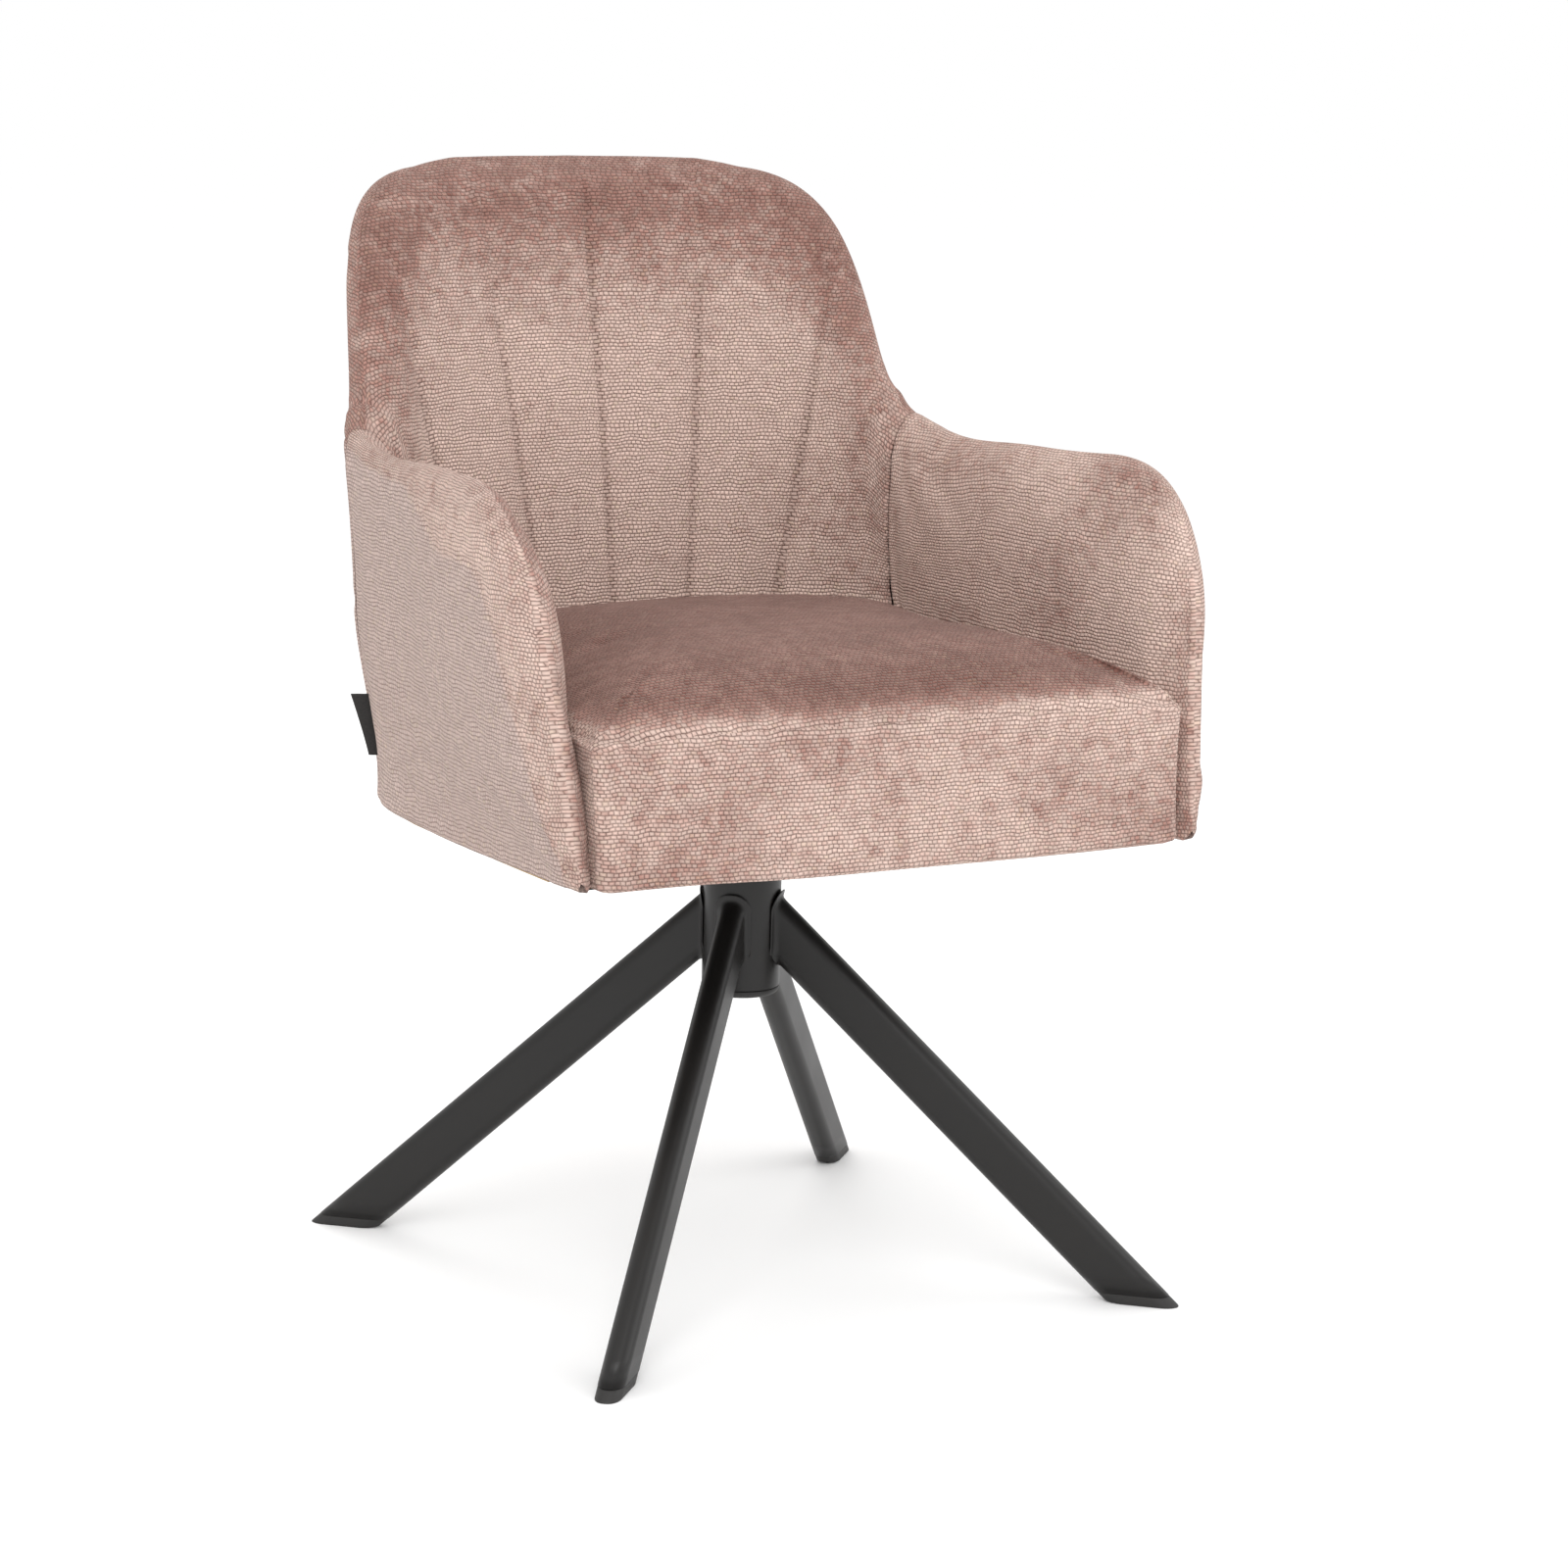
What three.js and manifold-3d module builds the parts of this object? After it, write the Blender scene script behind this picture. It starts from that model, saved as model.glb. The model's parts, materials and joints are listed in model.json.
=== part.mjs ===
// Upholstered swivel armchair: a tub seat on a steel hub with four splayed legs.
// Millimetres, +Z up. The seat faces -Y, the floor is z = 0, and the origin is the middle of the
// chair's outline on the floor. Left and right are the sitter's, so the right arm is at -X.
import * as THREE from 'three';
import { mergeVertices } from 'three/addons/utils/BufferGeometryUtils.js';
import Module from 'manifold-3d';

const wasm = await Module();
wasm.setup();

// ---- upholstered shell: overall sizes ----
const overallHeight = 870;        // floor to the top of the back
const seatUnderside = 375;        // floor to the underside of the upholstery
const beltHeight = 660;           // height at which the middle set of plan sizes is given
const halfWidthLow = 284;         // half width of the shell at its underside
const halfWidthBelt = 280;        // half width at the belt height
const halfWidthTop = 337;         // half width that the plan curve reaches at the top
const reachLow = 271;             // swivel axis to the back of the shell at its underside
const reachBelt = 319;            // the same at the belt height
const reachTop = 369;             // the same at the top
const planPower = 0.95;           // 1 makes the back an ellipse in plan, less makes it squarer
const shoulderY = 142;            // where the curved back runs into the straight arms
const shoulderYLow = 31;          // the same at the underside, where the back is rounder in plan
const shoulderRise = 150;         // height over which it moves from the one to the other
const armFrontLow = -250;         // front of the arms at the underside
const armFrontBelt = -195;        // front of the arms at the belt height
const armSpreadLow = -10;           // how far the arms splay outwards at the front, underside
const armSpreadBelt = 35;         // the same at the belt height
const shoulderHeight = 647;       // rim height where the back meets the arms
const shoulderLift = 16;          // how far the flank's foot is filled out above that
const shoulderLiftReach = 0.87;    // plan distance from its fullest place to where it ends
const armHeight = 660;            // rim height of the arms before they roll over
const armRoll = 123;              // size of the rolled corner at the front of the arms
const armRollPower = 2.2;         // 2 makes that corner an ellipse, more makes it squarer
const backFlankEnd = 0.745;        // share of the back's half plan taken by the top and its flank
const backFlankPower = 4.05;       // how square the top corners of the back are
const backFlankEase = 1.565;        // how softly the flank runs into the shoulder
const armThicknessLow = 40;       // thickness of the padded arms at the height of the seat
const armThicknessTop = 50;       // the same at their rim
const armThickenFrom = 480;       // the arms thicken between these two heights
const armThickenTo = 620;
const backThickness = 50;         // thickness of the padded back
const rimRounding = 32;           // depth of the rounding along the rim
const hemRounding = 6;            // tuck of the upholstery at its underside
const seamPlace = 0.82;           // share of the back's half plan where the back pad meets an arm pad

// ---- seat cushion and its board ----
const seatSeamHeight = 485;       // floor to the front top seam of the seat
const seatCrown = 49;             // how far the cushion rises above that seam
const seatCrownPlace = -48;       // how far behind the swivel axis the crown is fullest
const seatTilt = 11;              // how much lower the cushion's top lies at its back than at its front
const seatFront = -249;           // front of the seat border at its ends, underside
const seatFrontLean = 8;          // how far the border leans back up to its top seam
const seatFrontBow = 10;          // how far the front border bows out in the middle
const seatCornerRadius = 14;      // rounding of the border's front corners
const seatBoardThickness = 15;
const seatBoardInset = 16;        // front edge of the board behind the front border
const shellBoardThickness = 12;   // moulded plywood inside the arms and the back
const shellBoardMargin = 46;      // plywood stops this far below the padded rim
const shellBoardArmEnd = 1.82;    // plan place where the arm boards stop
const boardRows = 11;             // rows of facets up a shell board and its pocket
const tagHeight = 43;             // blank cloth tag in the side seam behind the right arm
const tagLength = 9;
const tagThickness = 1.6;
const tagLowEdge = 408;           // floor to the tag's lower edge
const dustCoverThickness = 1;
const dustCoverInset = 14;

// ---- swivel ----
const spindleDiameter = 28;
const spindleLength = 104;         // from the top of the hub down to the retaining clip
const spindleTipDiameter = 24;
const plateSize = 190;
const plateThickness = 5;
const plateCornerRadius = 20;
const boltSpacing = 140;
const boltDiameter = 8;
const boltHeadDiameter = 14;
const boltHeadHeight = 4.4;
const washerDiameter = 18;
const washerThickness = 1.6;
const teeNutFlange = 22;
const teeNutFlangeThickness = 1.6;
const teeNutBarrel = 10.4;
const thrustWasherDiameter = 56;
const thrustWasherThickness = 2;
const bushFlangeThickness = 3;
const bushLength = 22;
const clipThickness = 1.5;
const clipWidth = 4;

// ---- base ----
const hubDiameter = 62;
const hubWall = 3;
const hubBottom = seatUnderside - 143; // floor to the lower end of the hub tube
const capThickness = 6;
const capRounding = 5;            // rounding of the cap's lower edge
const capSkirt = 10;
const legDepth = 40;              // flat oval leg tube, the upright size of its section
const legBreadth = 21;            // the sideways size of its section
const legWall = 2;
const legEdgeRadius = 9.5;
const footOuter = 375;            // swivel axis to the outer tip of a foot
const footInner = 292;            // swivel axis to the inner end of a foot
const legJoinHeight = 281;        // height of the leg's centre line at the hub
const glideThickness = 8;         // of the glide's plate, seen below the tube
const glidePlug = 18;             // height of its plug inside the tube
const baseTurn = 2.5;             // degrees that the base stands turned under the seat
const legCount = 4;

// ---- fits ----
const gap = 0.3;                  // between pieces that touch
const slip = 0.5;                 // play of a bolt in its hole, and round the seat board
const pocketPlay = 2;             // play of a shell board in its pocket in the padding
const pocketEndPlay = 0.012;      // the same at a board's ends, as a share of the plan
const runningGap = 0.06;          // radial play of the spindle in its bushes
const padGap = 6;                 // between the cushion and the arms and back
const tagStandOff = 1.5;          // between the tag and the shell, which bulges between the tag's ends
const axisForward = 45;           // the swivel axis lies this far in front of the origin

const roundSides = 24;            // facets round the hub and its bushes
const smallSides = 10;            // facets round the bolts and screws

const colours = {
  fabric: { color: 0xb08f87, roughness: 0.95, metalness: 0 },
  steel: { color: 0x25211f, roughness: 0.45, metalness: 0.3 },
  zinc: { color: 0xb9bcc0, roughness: 0.35, metalness: 1 },
  nylon: { color: 0xe6e2d6, roughness: 0.5, metalness: 0 },
  plastic: { color: 0x161514, roughness: 0.6, metalness: 0 },
  plywood: { color: 0xc9a678, roughness: 0.7, metalness: 0 },
  cloth: { color: 0x1b1b1c, roughness: 0.95, metalness: 0 },
};

const chair = new THREE.Group();
chair.position.y = -axisForward;

function addPiece(name, geometry, finish, parent = chair) {
  const mesh = new THREE.Mesh(geometry, new THREE.MeshStandardMaterial(colours[finish]));
  mesh.name = name;
  parent.add(mesh);
  return mesh;
}

// ---- solids: joining and cutting ----
function toSolid(geometry) {
  const bare = geometry.clone();
  bare.deleteAttribute('normal');
  bare.deleteAttribute('uv');
  const merged = mergeVertices(bare, 1e-4);
  const vertProperties = new Float32Array(merged.attributes.position.array);
  const triVerts = new Uint32Array(merged.index.array);
  return new wasm.Manifold(new wasm.Mesh({ numProp: 3, vertProperties, triVerts }));
}

function toGeometry(solid) {
  const mesh = solid.getMesh();
  const geometry = new THREE.BufferGeometry();
  geometry.setAttribute('position', new THREE.BufferAttribute(new Float32Array(mesh.vertProperties), 3));
  geometry.setIndex(new THREE.BufferAttribute(new Uint32Array(mesh.triVerts), 1));
  return geometry;
}

function cut(geometry, ...tools) {
  let solid = toSolid(geometry);
  for (const tool of tools) {
    solid = solid.subtract(toSolid(tool));
  }
  return toGeometry(solid);
}

// A closed solid from corner points and faces. Points that coincide become one, faces that lose
// their area are dropped, and the whole is turned to face outwards.
function closedSolid(points, quads) {
  const place = new Map();
  const position = [];
  const keyOf = points.map((p) => {
    const key = p.map((value) => Math.round(value * 1000)).join(' ');
    if (!place.has(key)) {
      place.set(key, position.length / 3);
      position.push(...p);
    }
    return place.get(key);
  });
  const index = [];
  for (const quad of quads) {
    const corners = quad.map((corner) => keyOf[corner]);
    const ring = corners.filter((corner, i) => corner !== corners[(i + 1) % corners.length]);
    for (let i = 2; i < ring.length; i += 1) {
      if (new Set([ring[0], ring[i - 1], ring[i]]).size === 3) {
        index.push(ring[0], ring[i - 1], ring[i]);
      }
    }
  }
  const at = (i) => new THREE.Vector3().fromArray(position, 3 * i);
  let volume = 0;
  for (let i = 0; i < index.length; i += 3) {
    volume += at(index[i]).dot(at(index[i + 1]).cross(at(index[i + 2])));
  }
  if (volume < 0) {
    index.reverse();
  }
  const geometry = new THREE.BufferGeometry();
  geometry.setAttribute('position', new THREE.Float32BufferAttribute(position, 3));
  geometry.setIndex(index);
  return geometry;
}

// A solid from closed rings of equal count, each the one above the last, ended by two centre points.
function ringSolid(rings, bottomCentre, topCentre) {
  const count = rings[0].length;
  const points = rings.flat().concat([bottomCentre, topCentre]);
  const bottom = points.length - 2;
  const quads = [];
  for (let i = 0; i < count; i += 1) {
    const next = (i + 1) % count;
    quads.push([bottom, next, i]);
    for (let level = 1; level < rings.length; level += 1) {
      const below = (level - 1) * count;
      const above = level * count;
      quads.push([below + i, below + next, above + next, above + i]);
    }
    const last = (rings.length - 1) * count;
    quads.push([last + i, last + next, bottom + 1]);
  }
  return closedSolid(points, quads);
}

// ---- the shell's shape ----
// A place on the shell is given by u and z. |u| runs from 0 at the middle of the back to 1 at the
// shoulder and 2 at the front of the arm, and its sign is the side.
function clamp(value, low = 0, high = 1) {
  return Math.min(high, Math.max(low, value));
}

function ease(value) {
  const share = clamp(value);
  return share * share * (3 - 2 * share);
}

function throughHeights(z, low, belt, top) {
  const a = seatUnderside;
  const b = beltHeight;
  const c = overallHeight;
  return low * (z - b) * (z - c) / ((a - b) * (a - c))
    + belt * (z - a) * (z - c) / ((b - a) * (b - c))
    + top * (z - a) * (z - b) / ((c - a) * (c - b));
}

function shoulderAt(z) {
  return shoulderYLow + (shoulderY - shoulderYLow) * ease((z - seatUnderside) / shoulderRise);
}

function planPoint(u, z) {
  const side = Math.sign(u) || 1;
  const place = Math.abs(u);
  const width = throughHeights(z, halfWidthLow, halfWidthBelt, halfWidthTop);
  const reach = throughHeights(z, reachLow, reachBelt, reachTop);
  const shoulder = shoulderAt(z);
  if (place <= 1) {
    const turn = place * Math.PI / 2;
    const x = width * Math.sin(turn) ** planPower;
    const y = shoulder + (reach - shoulder) * Math.max(Math.cos(turn), 0) ** planPower;
    return [side * x, y];
  }
  const along = place - 1;
  const rise = (z - seatUnderside) / (beltHeight - seatUnderside);
  const spread = (armSpreadLow * (1 - rise) + armSpreadBelt * rise) * along ** 1.5;
  const front = armFrontLow + (armFrontBelt - armFrontLow) * rise;
  return [side * (width + spread), shoulder + (front - shoulder) * along];
}

// The point at a distance inside the outer plan curve, square to that curve.
function inwards(u, z, offset) {
  const step = 1e-3;
  const before = planPoint(u - step, z);
  const after = planPoint(u + step, z);
  const dx = after[0] - before[0];
  const dy = after[1] - before[1];
  const length = Math.hypot(dx, dy);
  const here = planPoint(u, z);
  return [here[0] + dy / length * offset, here[1] - dx / length * offset, z];
}

// The rim line of the shoulder and arm, before the front corner rolls over.
function armLine(place) {
  const fading = clamp(1 - (place - 0.7) / shoulderLiftReach) ** 2;
  const lift = shoulderLift * fading * clamp((place - 0.3) / 0.4);
  return shoulderHeight + (armHeight - shoulderHeight) * Math.max(0, place - 1) + lift;
}

function rimHeight(u) {
  const place = Math.abs(u);
  if (place <= 1) {
    const share = clamp(place / backFlankEnd);
    const flank = (1 - share ** backFlankPower) ** backFlankEase;
    return Math.min(overallHeight, armLine(place) + (overallHeight - shoulderHeight) * flank);
  }
  const along = place - 1;
  const fromFront = (shoulderY - armFrontLow) * (1 - along);
  const inCorner = clamp(1 - fromFront / armRoll);
  return armLine(place) - armRoll * (1 - (1 - inCorner ** armRollPower) ** (1 / armRollPower));
}

// Distance from a place on the shell to its padded rim, measured in the shell's surface.
function rimDistance(u, z) {
  const place = Math.abs(u);
  if (place > 1) {
    const along = place - 1;
    const inCorner = clamp(1 - (shoulderY - armFrontLow) * (1 - along) / armRoll);
    const aboveCorner = Math.max(0, (z - armLine(place)) / armRoll + 1);
    const level = (inCorner ** armRollPower + aboveCorner ** armRollPower) ** (1 / armRollPower);
    return Math.max(0, armRoll * (1 - level));
  }
  const step = 1e-3;
  const a = Math.max(place - step, 0);
  const b = place + step;
  const [ax, ay] = planPoint(a, rimHeight(a));
  const [bx, by] = planPoint(b, rimHeight(b));
  const slope = (rimHeight(b) - rimHeight(a)) / Math.hypot(bx - ax, by - ay);
  return Math.max(0, (rimHeight(place) - z) / Math.hypot(1, slope));
}

function paddingAt(u, z) {
  const arm = armThicknessLow + (armThicknessTop - armThicknessLow)
    * ease((z - armThickenFrom) / (armThickenTo - armThickenFrom));
  return arm + (backThickness - arm) * ease((0.98 - Math.abs(u)) / 0.55);
}

// Places from u0 to u1; a crowd over 1 brings them closer together towards u1.
function spaced(u0, u1, count, crowd = 1) {
  return Array.from({ length: count + 1 }, (_, i) => u0 + (u1 - u0) * (1 - (1 - i / count) ** crowd));
}

// A part of the shell between two faces, with a column at each of the places and rows from a low
// to a high edge. face(side, u, z) gives how far inside the plan curve each of the two faces lies.
function shellPart({ places, rows, low, high, face, crowdTop = 1 }) {
  const points = [];
  const quads = [];
  const columns = places.length - 1;
  for (const side of [0, 1]) {
    for (const u of places) {
      for (const share of spaced(0, 1, rows, crowdTop)) {
        const z = low(u) + (high(u) - low(u)) * share;
        points.push(inwards(u, z, face(side, u, z)));
      }
    }
  }
  const at = (side, i, j) => (side * (columns + 1) + i) * (rows + 1) + j;
  for (let i = 0; i < columns; i += 1) {
    for (let j = 0; j < rows; j += 1) {
      quads.push([at(0, i, j), at(0, i + 1, j), at(0, i + 1, j + 1), at(0, i, j + 1)]);
      quads.push([at(1, i, j), at(1, i, j + 1), at(1, i + 1, j + 1), at(1, i + 1, j)]);
    }
    quads.push([at(0, i, 0), at(1, i, 0), at(1, i + 1, 0), at(0, i + 1, 0)]);
    quads.push([at(0, i, rows), at(0, i + 1, rows), at(1, i + 1, rows), at(1, i, rows)]);
  }
  for (let j = 0; j < rows; j += 1) {
    quads.push([at(0, 0, j), at(0, 0, j + 1), at(1, 0, j + 1), at(1, 0, j)]);
    quads.push([at(0, columns, j), at(1, columns, j), at(1, columns, j + 1), at(0, columns, j + 1)]);
  }
  return closedSolid(points, quads);
}

function padFace(side, u, z) {
  const padding = paddingAt(u, z);
  const bulge = Math.sqrt(1 - (1 - clamp(rimDistance(u, z) / rimRounding)) ** 2);
  const hem = clamp(1 - (z - seatUnderside) / hemRounding);
  const tuck = hemRounding * (1 - Math.sqrt(1 - hem ** 2));
  return side === 0 ? padding / 2 * (1 - bulge) + tuck : padding / 2 * (1 + bulge);
}

function boardFace(grow) {
  return (side, u) => paddingAt(u, seatUnderside) / 2 + (side === 0 ? -1 : 1) * (shellBoardThickness / 2 + grow);
}

function boardTop(u) {
  return rimHeight(u) - shellBoardMargin;
}

function shellBoard(places) {
  return shellPart({ places, rows: boardRows, low: () => seatUnderside, high: boardTop, face: boardFace(0) });
}

// The room for a board: the same shape with play all round and an open underside.
function boardPocket(places) {
  const play = pocketEndPlay;
  const wider = [places[0] - play, ...places, places[places.length - 1] + play];
  const low = () => seatUnderside - 5;
  const high = (u) => boardTop(u) + pocketPlay;
  return shellPart({ places: wider, rows: boardRows, low, high, face: boardFace(pocketPlay) });
}

// ---- the seat's outline: inside the shell at an offset, closed by the bowed front ----
function seatRing(z, offsetAt, frontInset) {
  const lean = seatFrontLean * (z - seatUnderside) / (seatSeamHeight - seatUnderside);
  const front = seatFront + lean + frontInset;
  const radius = seatCornerRadius;
  const ring = [];
  const uEnd = 1 + (shoulderAt(z) - front - radius) / (shoulderAt(z) - planPoint(2, z)[1]);
  const steps = 24;
  for (let i = 0; i <= steps; i += 1) {
    const u = uEnd * (2 * i / steps - 1);
    ring.push(inwards(u, z, offsetAt(u, z)));
  }
  const [halfWidth, sideY] = ring[ring.length - 1];
  const bowSteps = 8;
  const cornerSteps = 3;
  const bowAt = (x) => front - seatFrontBow * (1 - (x / halfWidth) ** 2);
  for (let i = 1; i < cornerSteps; i += 1) {
    const turn = i / cornerSteps * Math.PI / 2;
    const x = halfWidth - radius * (1 - Math.cos(turn));
    const depth = (sideY - bowAt(x)) * Math.sin(turn);
    ring.push([x, sideY - depth, z]);
  }
  for (let i = 0; i <= bowSteps; i += 1) {
    const x = (halfWidth - radius) * (1 - 2 * i / bowSteps);
    ring.push([x, bowAt(x), z]);
  }
  for (let i = cornerSteps - 1; i > 0; i -= 1) {
    const turn = i / cornerSteps * Math.PI / 2;
    const x = halfWidth - radius * (1 - Math.cos(turn));
    const depth = (sideY - bowAt(x)) * Math.sin(turn);
    ring.push([-x, sideY - depth, z]);
  }
  return ring;
}

const seatBoardBottom = seatUnderside + gap;
const seatBoardTop = seatBoardBottom + seatBoardThickness;

function seatBoardSolid(grow) {
  const inset = (u) => paddingAt(u, seatUnderside) / 2 + shellBoardThickness / 2 + gap - grow;
  const low = seatBoardBottom - (grow > 0 ? 5 : 0);
  const high = seatBoardTop + (grow > 0 ? gap : 0);
  const rings = [low, high].map((z) => seatRing(z, inset, seatBoardInset - grow));
  return ringSolid(rings, [0, 0, low], [0, 0, high]);
}

function cushionSolid() {
  const inset = (u, z) => paddingAt(u, z) + padGap;
  const levels = [0, 25, 50, 75, 94].map((rise) => seatUnderside + rise);
  const rings = levels.map((z) => seatRing(z, inset, 0));
  const edge = seatRing(seatSeamHeight, inset, 0);
  const centreY = seatCrownPlace;
  const backY = Math.max(...edge.map(([, y]) => y));
  const drop = (y) => seatTilt * clamp((y - seatFront) / (backY - seatFront));
  for (const share of [1, 0.96, 0.88, 0.76, 0.6, 0.42, 0.22]) {
    const z = seatSeamHeight + seatCrown * (1 - share ** 4) ** 0.6;
    rings.push(edge.map(([x, y]) => {
      const inside = centreY + (y - centreY) * share;
      return [x * share, inside, z - drop(inside)];
    }));
  }
  const crown = seatSeamHeight + seatCrown - drop(centreY);
  return ringSolid(rings, [0, centreY, seatUnderside], [0, centreY, crown]);
}

// ---- small round pieces ----
function rod(diameter, bottom, top, x = 0, y = 0, sides = smallSides) {
  const geometry = new THREE.CylinderGeometry(diameter / 2, diameter / 2, top - bottom, sides);
  geometry.rotateX(Math.PI / 2);
  geometry.translate(x, y, (bottom + top) / 2);
  return geometry;
}

// A turned piece about +Z from a profile of [radius, z] points.
function turned(profile, sides = roundSides) {
  const outline = profile.map(([radius, z]) => new THREE.Vector2(radius, z));
  const geometry = new THREE.LatheGeometry(outline, sides);
  geometry.rotateX(Math.PI / 2);
  return geometry;
}

function ringOf(inner, outer, bottom, top, sides = roundSides) {
  return turned([[inner, bottom], [outer, bottom], [outer, top], [inner, top], [inner, bottom]], sides);
}

function roundedRectangle(width, height, radius) {
  const shape = new THREE.Shape();
  const x = width / 2 - radius;
  const y = height / 2 - radius;
  shape.absarc(x, y, radius, 0, Math.PI / 2);
  shape.absarc(-x, y, radius, Math.PI / 2, Math.PI);
  shape.absarc(-x, -y, radius, Math.PI, 1.5 * Math.PI);
  shape.absarc(x, -y, radius, 1.5 * Math.PI, 2 * Math.PI);
  return shape;
}

function slab(shape, bottom, top) {
  const geometry = new THREE.ExtrudeGeometry(shape, {
    depth: top - bottom, bevelEnabled: false, curveSegments: 4,
  });
  geometry.translate(0, 0, bottom);
  return geometry;
}

// ---- heights of the swivel, from the seat down ----
const dustCoverTop = seatUnderside - gap;
const plateTop = dustCoverTop - dustCoverThickness - gap;
const plateBottom = plateTop - plateThickness;
const thrustTop = plateBottom - gap;
const thrustBottom = thrustTop - thrustWasherThickness;
const flangeTop = thrustBottom - gap;
const hubTop = flangeTop - bushFlangeThickness - gap;
const upperBushBottom = hubTop - bushLength;
const capTop = hubBottom - gap;
const clipBottom = hubTop - spindleLength;
const lowerWasherBottom = clipBottom + clipThickness + gap;
const lowerBushBottom = lowerWasherBottom + thrustWasherThickness + gap;
const lowerBushTop = lowerBushBottom + bushLength;
const hubBore = hubDiameter / 2 - hubWall;
const spindleRadius = spindleDiameter / 2;
const spindleBottom = clipBottom - 3;

// ---- base ----
// The leg's centre line runs down and out from the hub to the middle of its foot.
const footMiddle = (footOuter + footInner) / 2;
const legTop = new THREE.Vector3(0, 0, legJoinHeight + legJoinHeight / footMiddle * hubDiameter / 2);
const legFoot = new THREE.Vector3(footMiddle, 0, 0);

function legProfile(shrink) {
  return roundedRectangle(legBreadth - 2 * shrink, legDepth - 2 * shrink, legEdgeRadius - shrink);
}

// A length of the leg's section along its centre line, past both ends.
function legBlank(shrink) {
  const direction = legFoot.clone().sub(legTop).normalize();
  const past = 60;
  const start = legTop.clone().addScaledVector(direction, -past);
  const length = legTop.distanceTo(legFoot) + 2 * past;
  const geometry = new THREE.ExtrudeGeometry(legProfile(shrink), {
    depth: length, bevelEnabled: false, curveSegments: 4,
  });
  const up = new THREE.Vector3(0, 0, 1);
  const sideways = new THREE.Vector3().crossVectors(up, direction).normalize();
  const depthwise = new THREE.Vector3().crossVectors(direction, sideways);
  geometry.applyMatrix4(new THREE.Matrix4().makeBasis(sideways, depthwise, direction));
  geometry.translate(start.x, start.y, start.z);
  return toSolid(geometry);
}

function levelBlock(bottom, top) {
  const size = 3 * footOuter;
  const geometry = new THREE.BoxGeometry(size, size, top - bottom);
  geometry.translate(0, 0, (bottom + top) / 2);
  return toSolid(geometry);
}

const hubSaddle = toSolid(rod(hubDiameter + 2 * gap, -100, 2 * overallHeight, 0, 0, roundSides));
const halfSpace = new THREE.BoxGeometry(footOuter, footOuter, 2 * overallHeight);
halfSpace.translate(footOuter / 2, 0, 0);
const outerHalf = toSolid(halfSpace);
const legOuter = legBlank(0).intersect(outerHalf);
const legBore = legBlank(legWall).intersect(outerHalf);
const legPlugShape = legBlank(legWall + gap).intersect(outerHalf);
const aboveGlide = levelBlock(glideThickness + gap, overallHeight);
const legSolid = legOuter.subtract(legBore).subtract(hubSaddle).intersect(aboveGlide);
const glideCap = legOuter.intersect(levelBlock(0, glideThickness));
const glidePlugSolid = legPlugShape.intersect(levelBlock(glideThickness / 2, glideThickness + glidePlug));
const glideSolid = glideCap.add(glidePlugSolid);

const base = new THREE.Group();
base.rotation.z = THREE.MathUtils.degToRad(baseTurn);
chair.add(base);

addPiece('hub_tube', ringOf(hubBore, hubDiameter / 2, hubBottom, hubTop), 'steel', base);
const legNames = ['rear_left', 'rear_right', 'front_right', 'front_left'];
legNames.forEach((name, i) => {
  const arm = new THREE.Group();
  arm.rotation.z = Math.PI / legCount + i * 2 * Math.PI / legCount;
  base.add(arm);
  addPiece(`leg_${name}`, toGeometry(legSolid), 'steel', arm);
  addPiece(`glide_${name}`, toGeometry(glideSolid), 'plastic', arm);
});

const capWall = 2;
const capBottom = capTop - capThickness;
const skirtRadius = hubBore - gap;
const capRound = [0, 30, 60, 90].map((degrees) => {
  const turn = THREE.MathUtils.degToRad(degrees);
  const radius = hubDiameter / 2 - capRounding * (1 - Math.sin(turn));
  return [radius, capBottom + capRounding * (1 - Math.cos(turn))];
});
addPiece('hub_end_cap', turned([
  [0, capBottom], ...capRound, [hubDiameter / 2, capTop], [skirtRadius, capTop],
  [skirtRadius, capTop + capSkirt], [skirtRadius - capWall, capTop + capSkirt],
  [skirtRadius - capWall, capTop], [0, capTop],
]), 'plastic', base);

// The bore's flats, not its corners, stand off the spindle by the running gap.
const bushBore = (spindleRadius + runningGap) / Math.cos(Math.PI / roundSides);
const bushOuter = hubBore - gap / 2;
addPiece('upper_bush', turned([
  [bushBore, upperBushBottom], [bushOuter, upperBushBottom], [bushOuter, hubTop + gap],
  [hubDiameter / 2 - 1, hubTop + gap], [hubDiameter / 2 - 1, flangeTop], [bushBore, flangeTop],
  [bushBore, upperBushBottom],
]), 'nylon', base);
addPiece('lower_bush', ringOf(bushBore, bushOuter, lowerBushBottom, lowerBushTop), 'nylon', base);

// ---- swivel pieces that turn with the seat ----
const seat = new THREE.Group();
chair.add(seat);

const grooveRadius = spindleTipDiameter / 2;
addPiece('spindle', turned([
  [0, spindleBottom], [spindleRadius - 1, spindleBottom], [spindleRadius, spindleBottom + 1],
  [spindleRadius, clipBottom - gap / 2], [grooveRadius, clipBottom - gap / 2],
  [grooveRadius, clipBottom + clipThickness + gap / 2],
  [spindleRadius, clipBottom + clipThickness + gap / 2], [spindleRadius, plateTop], [0, plateTop],
]), 'zinc', seat);

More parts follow.
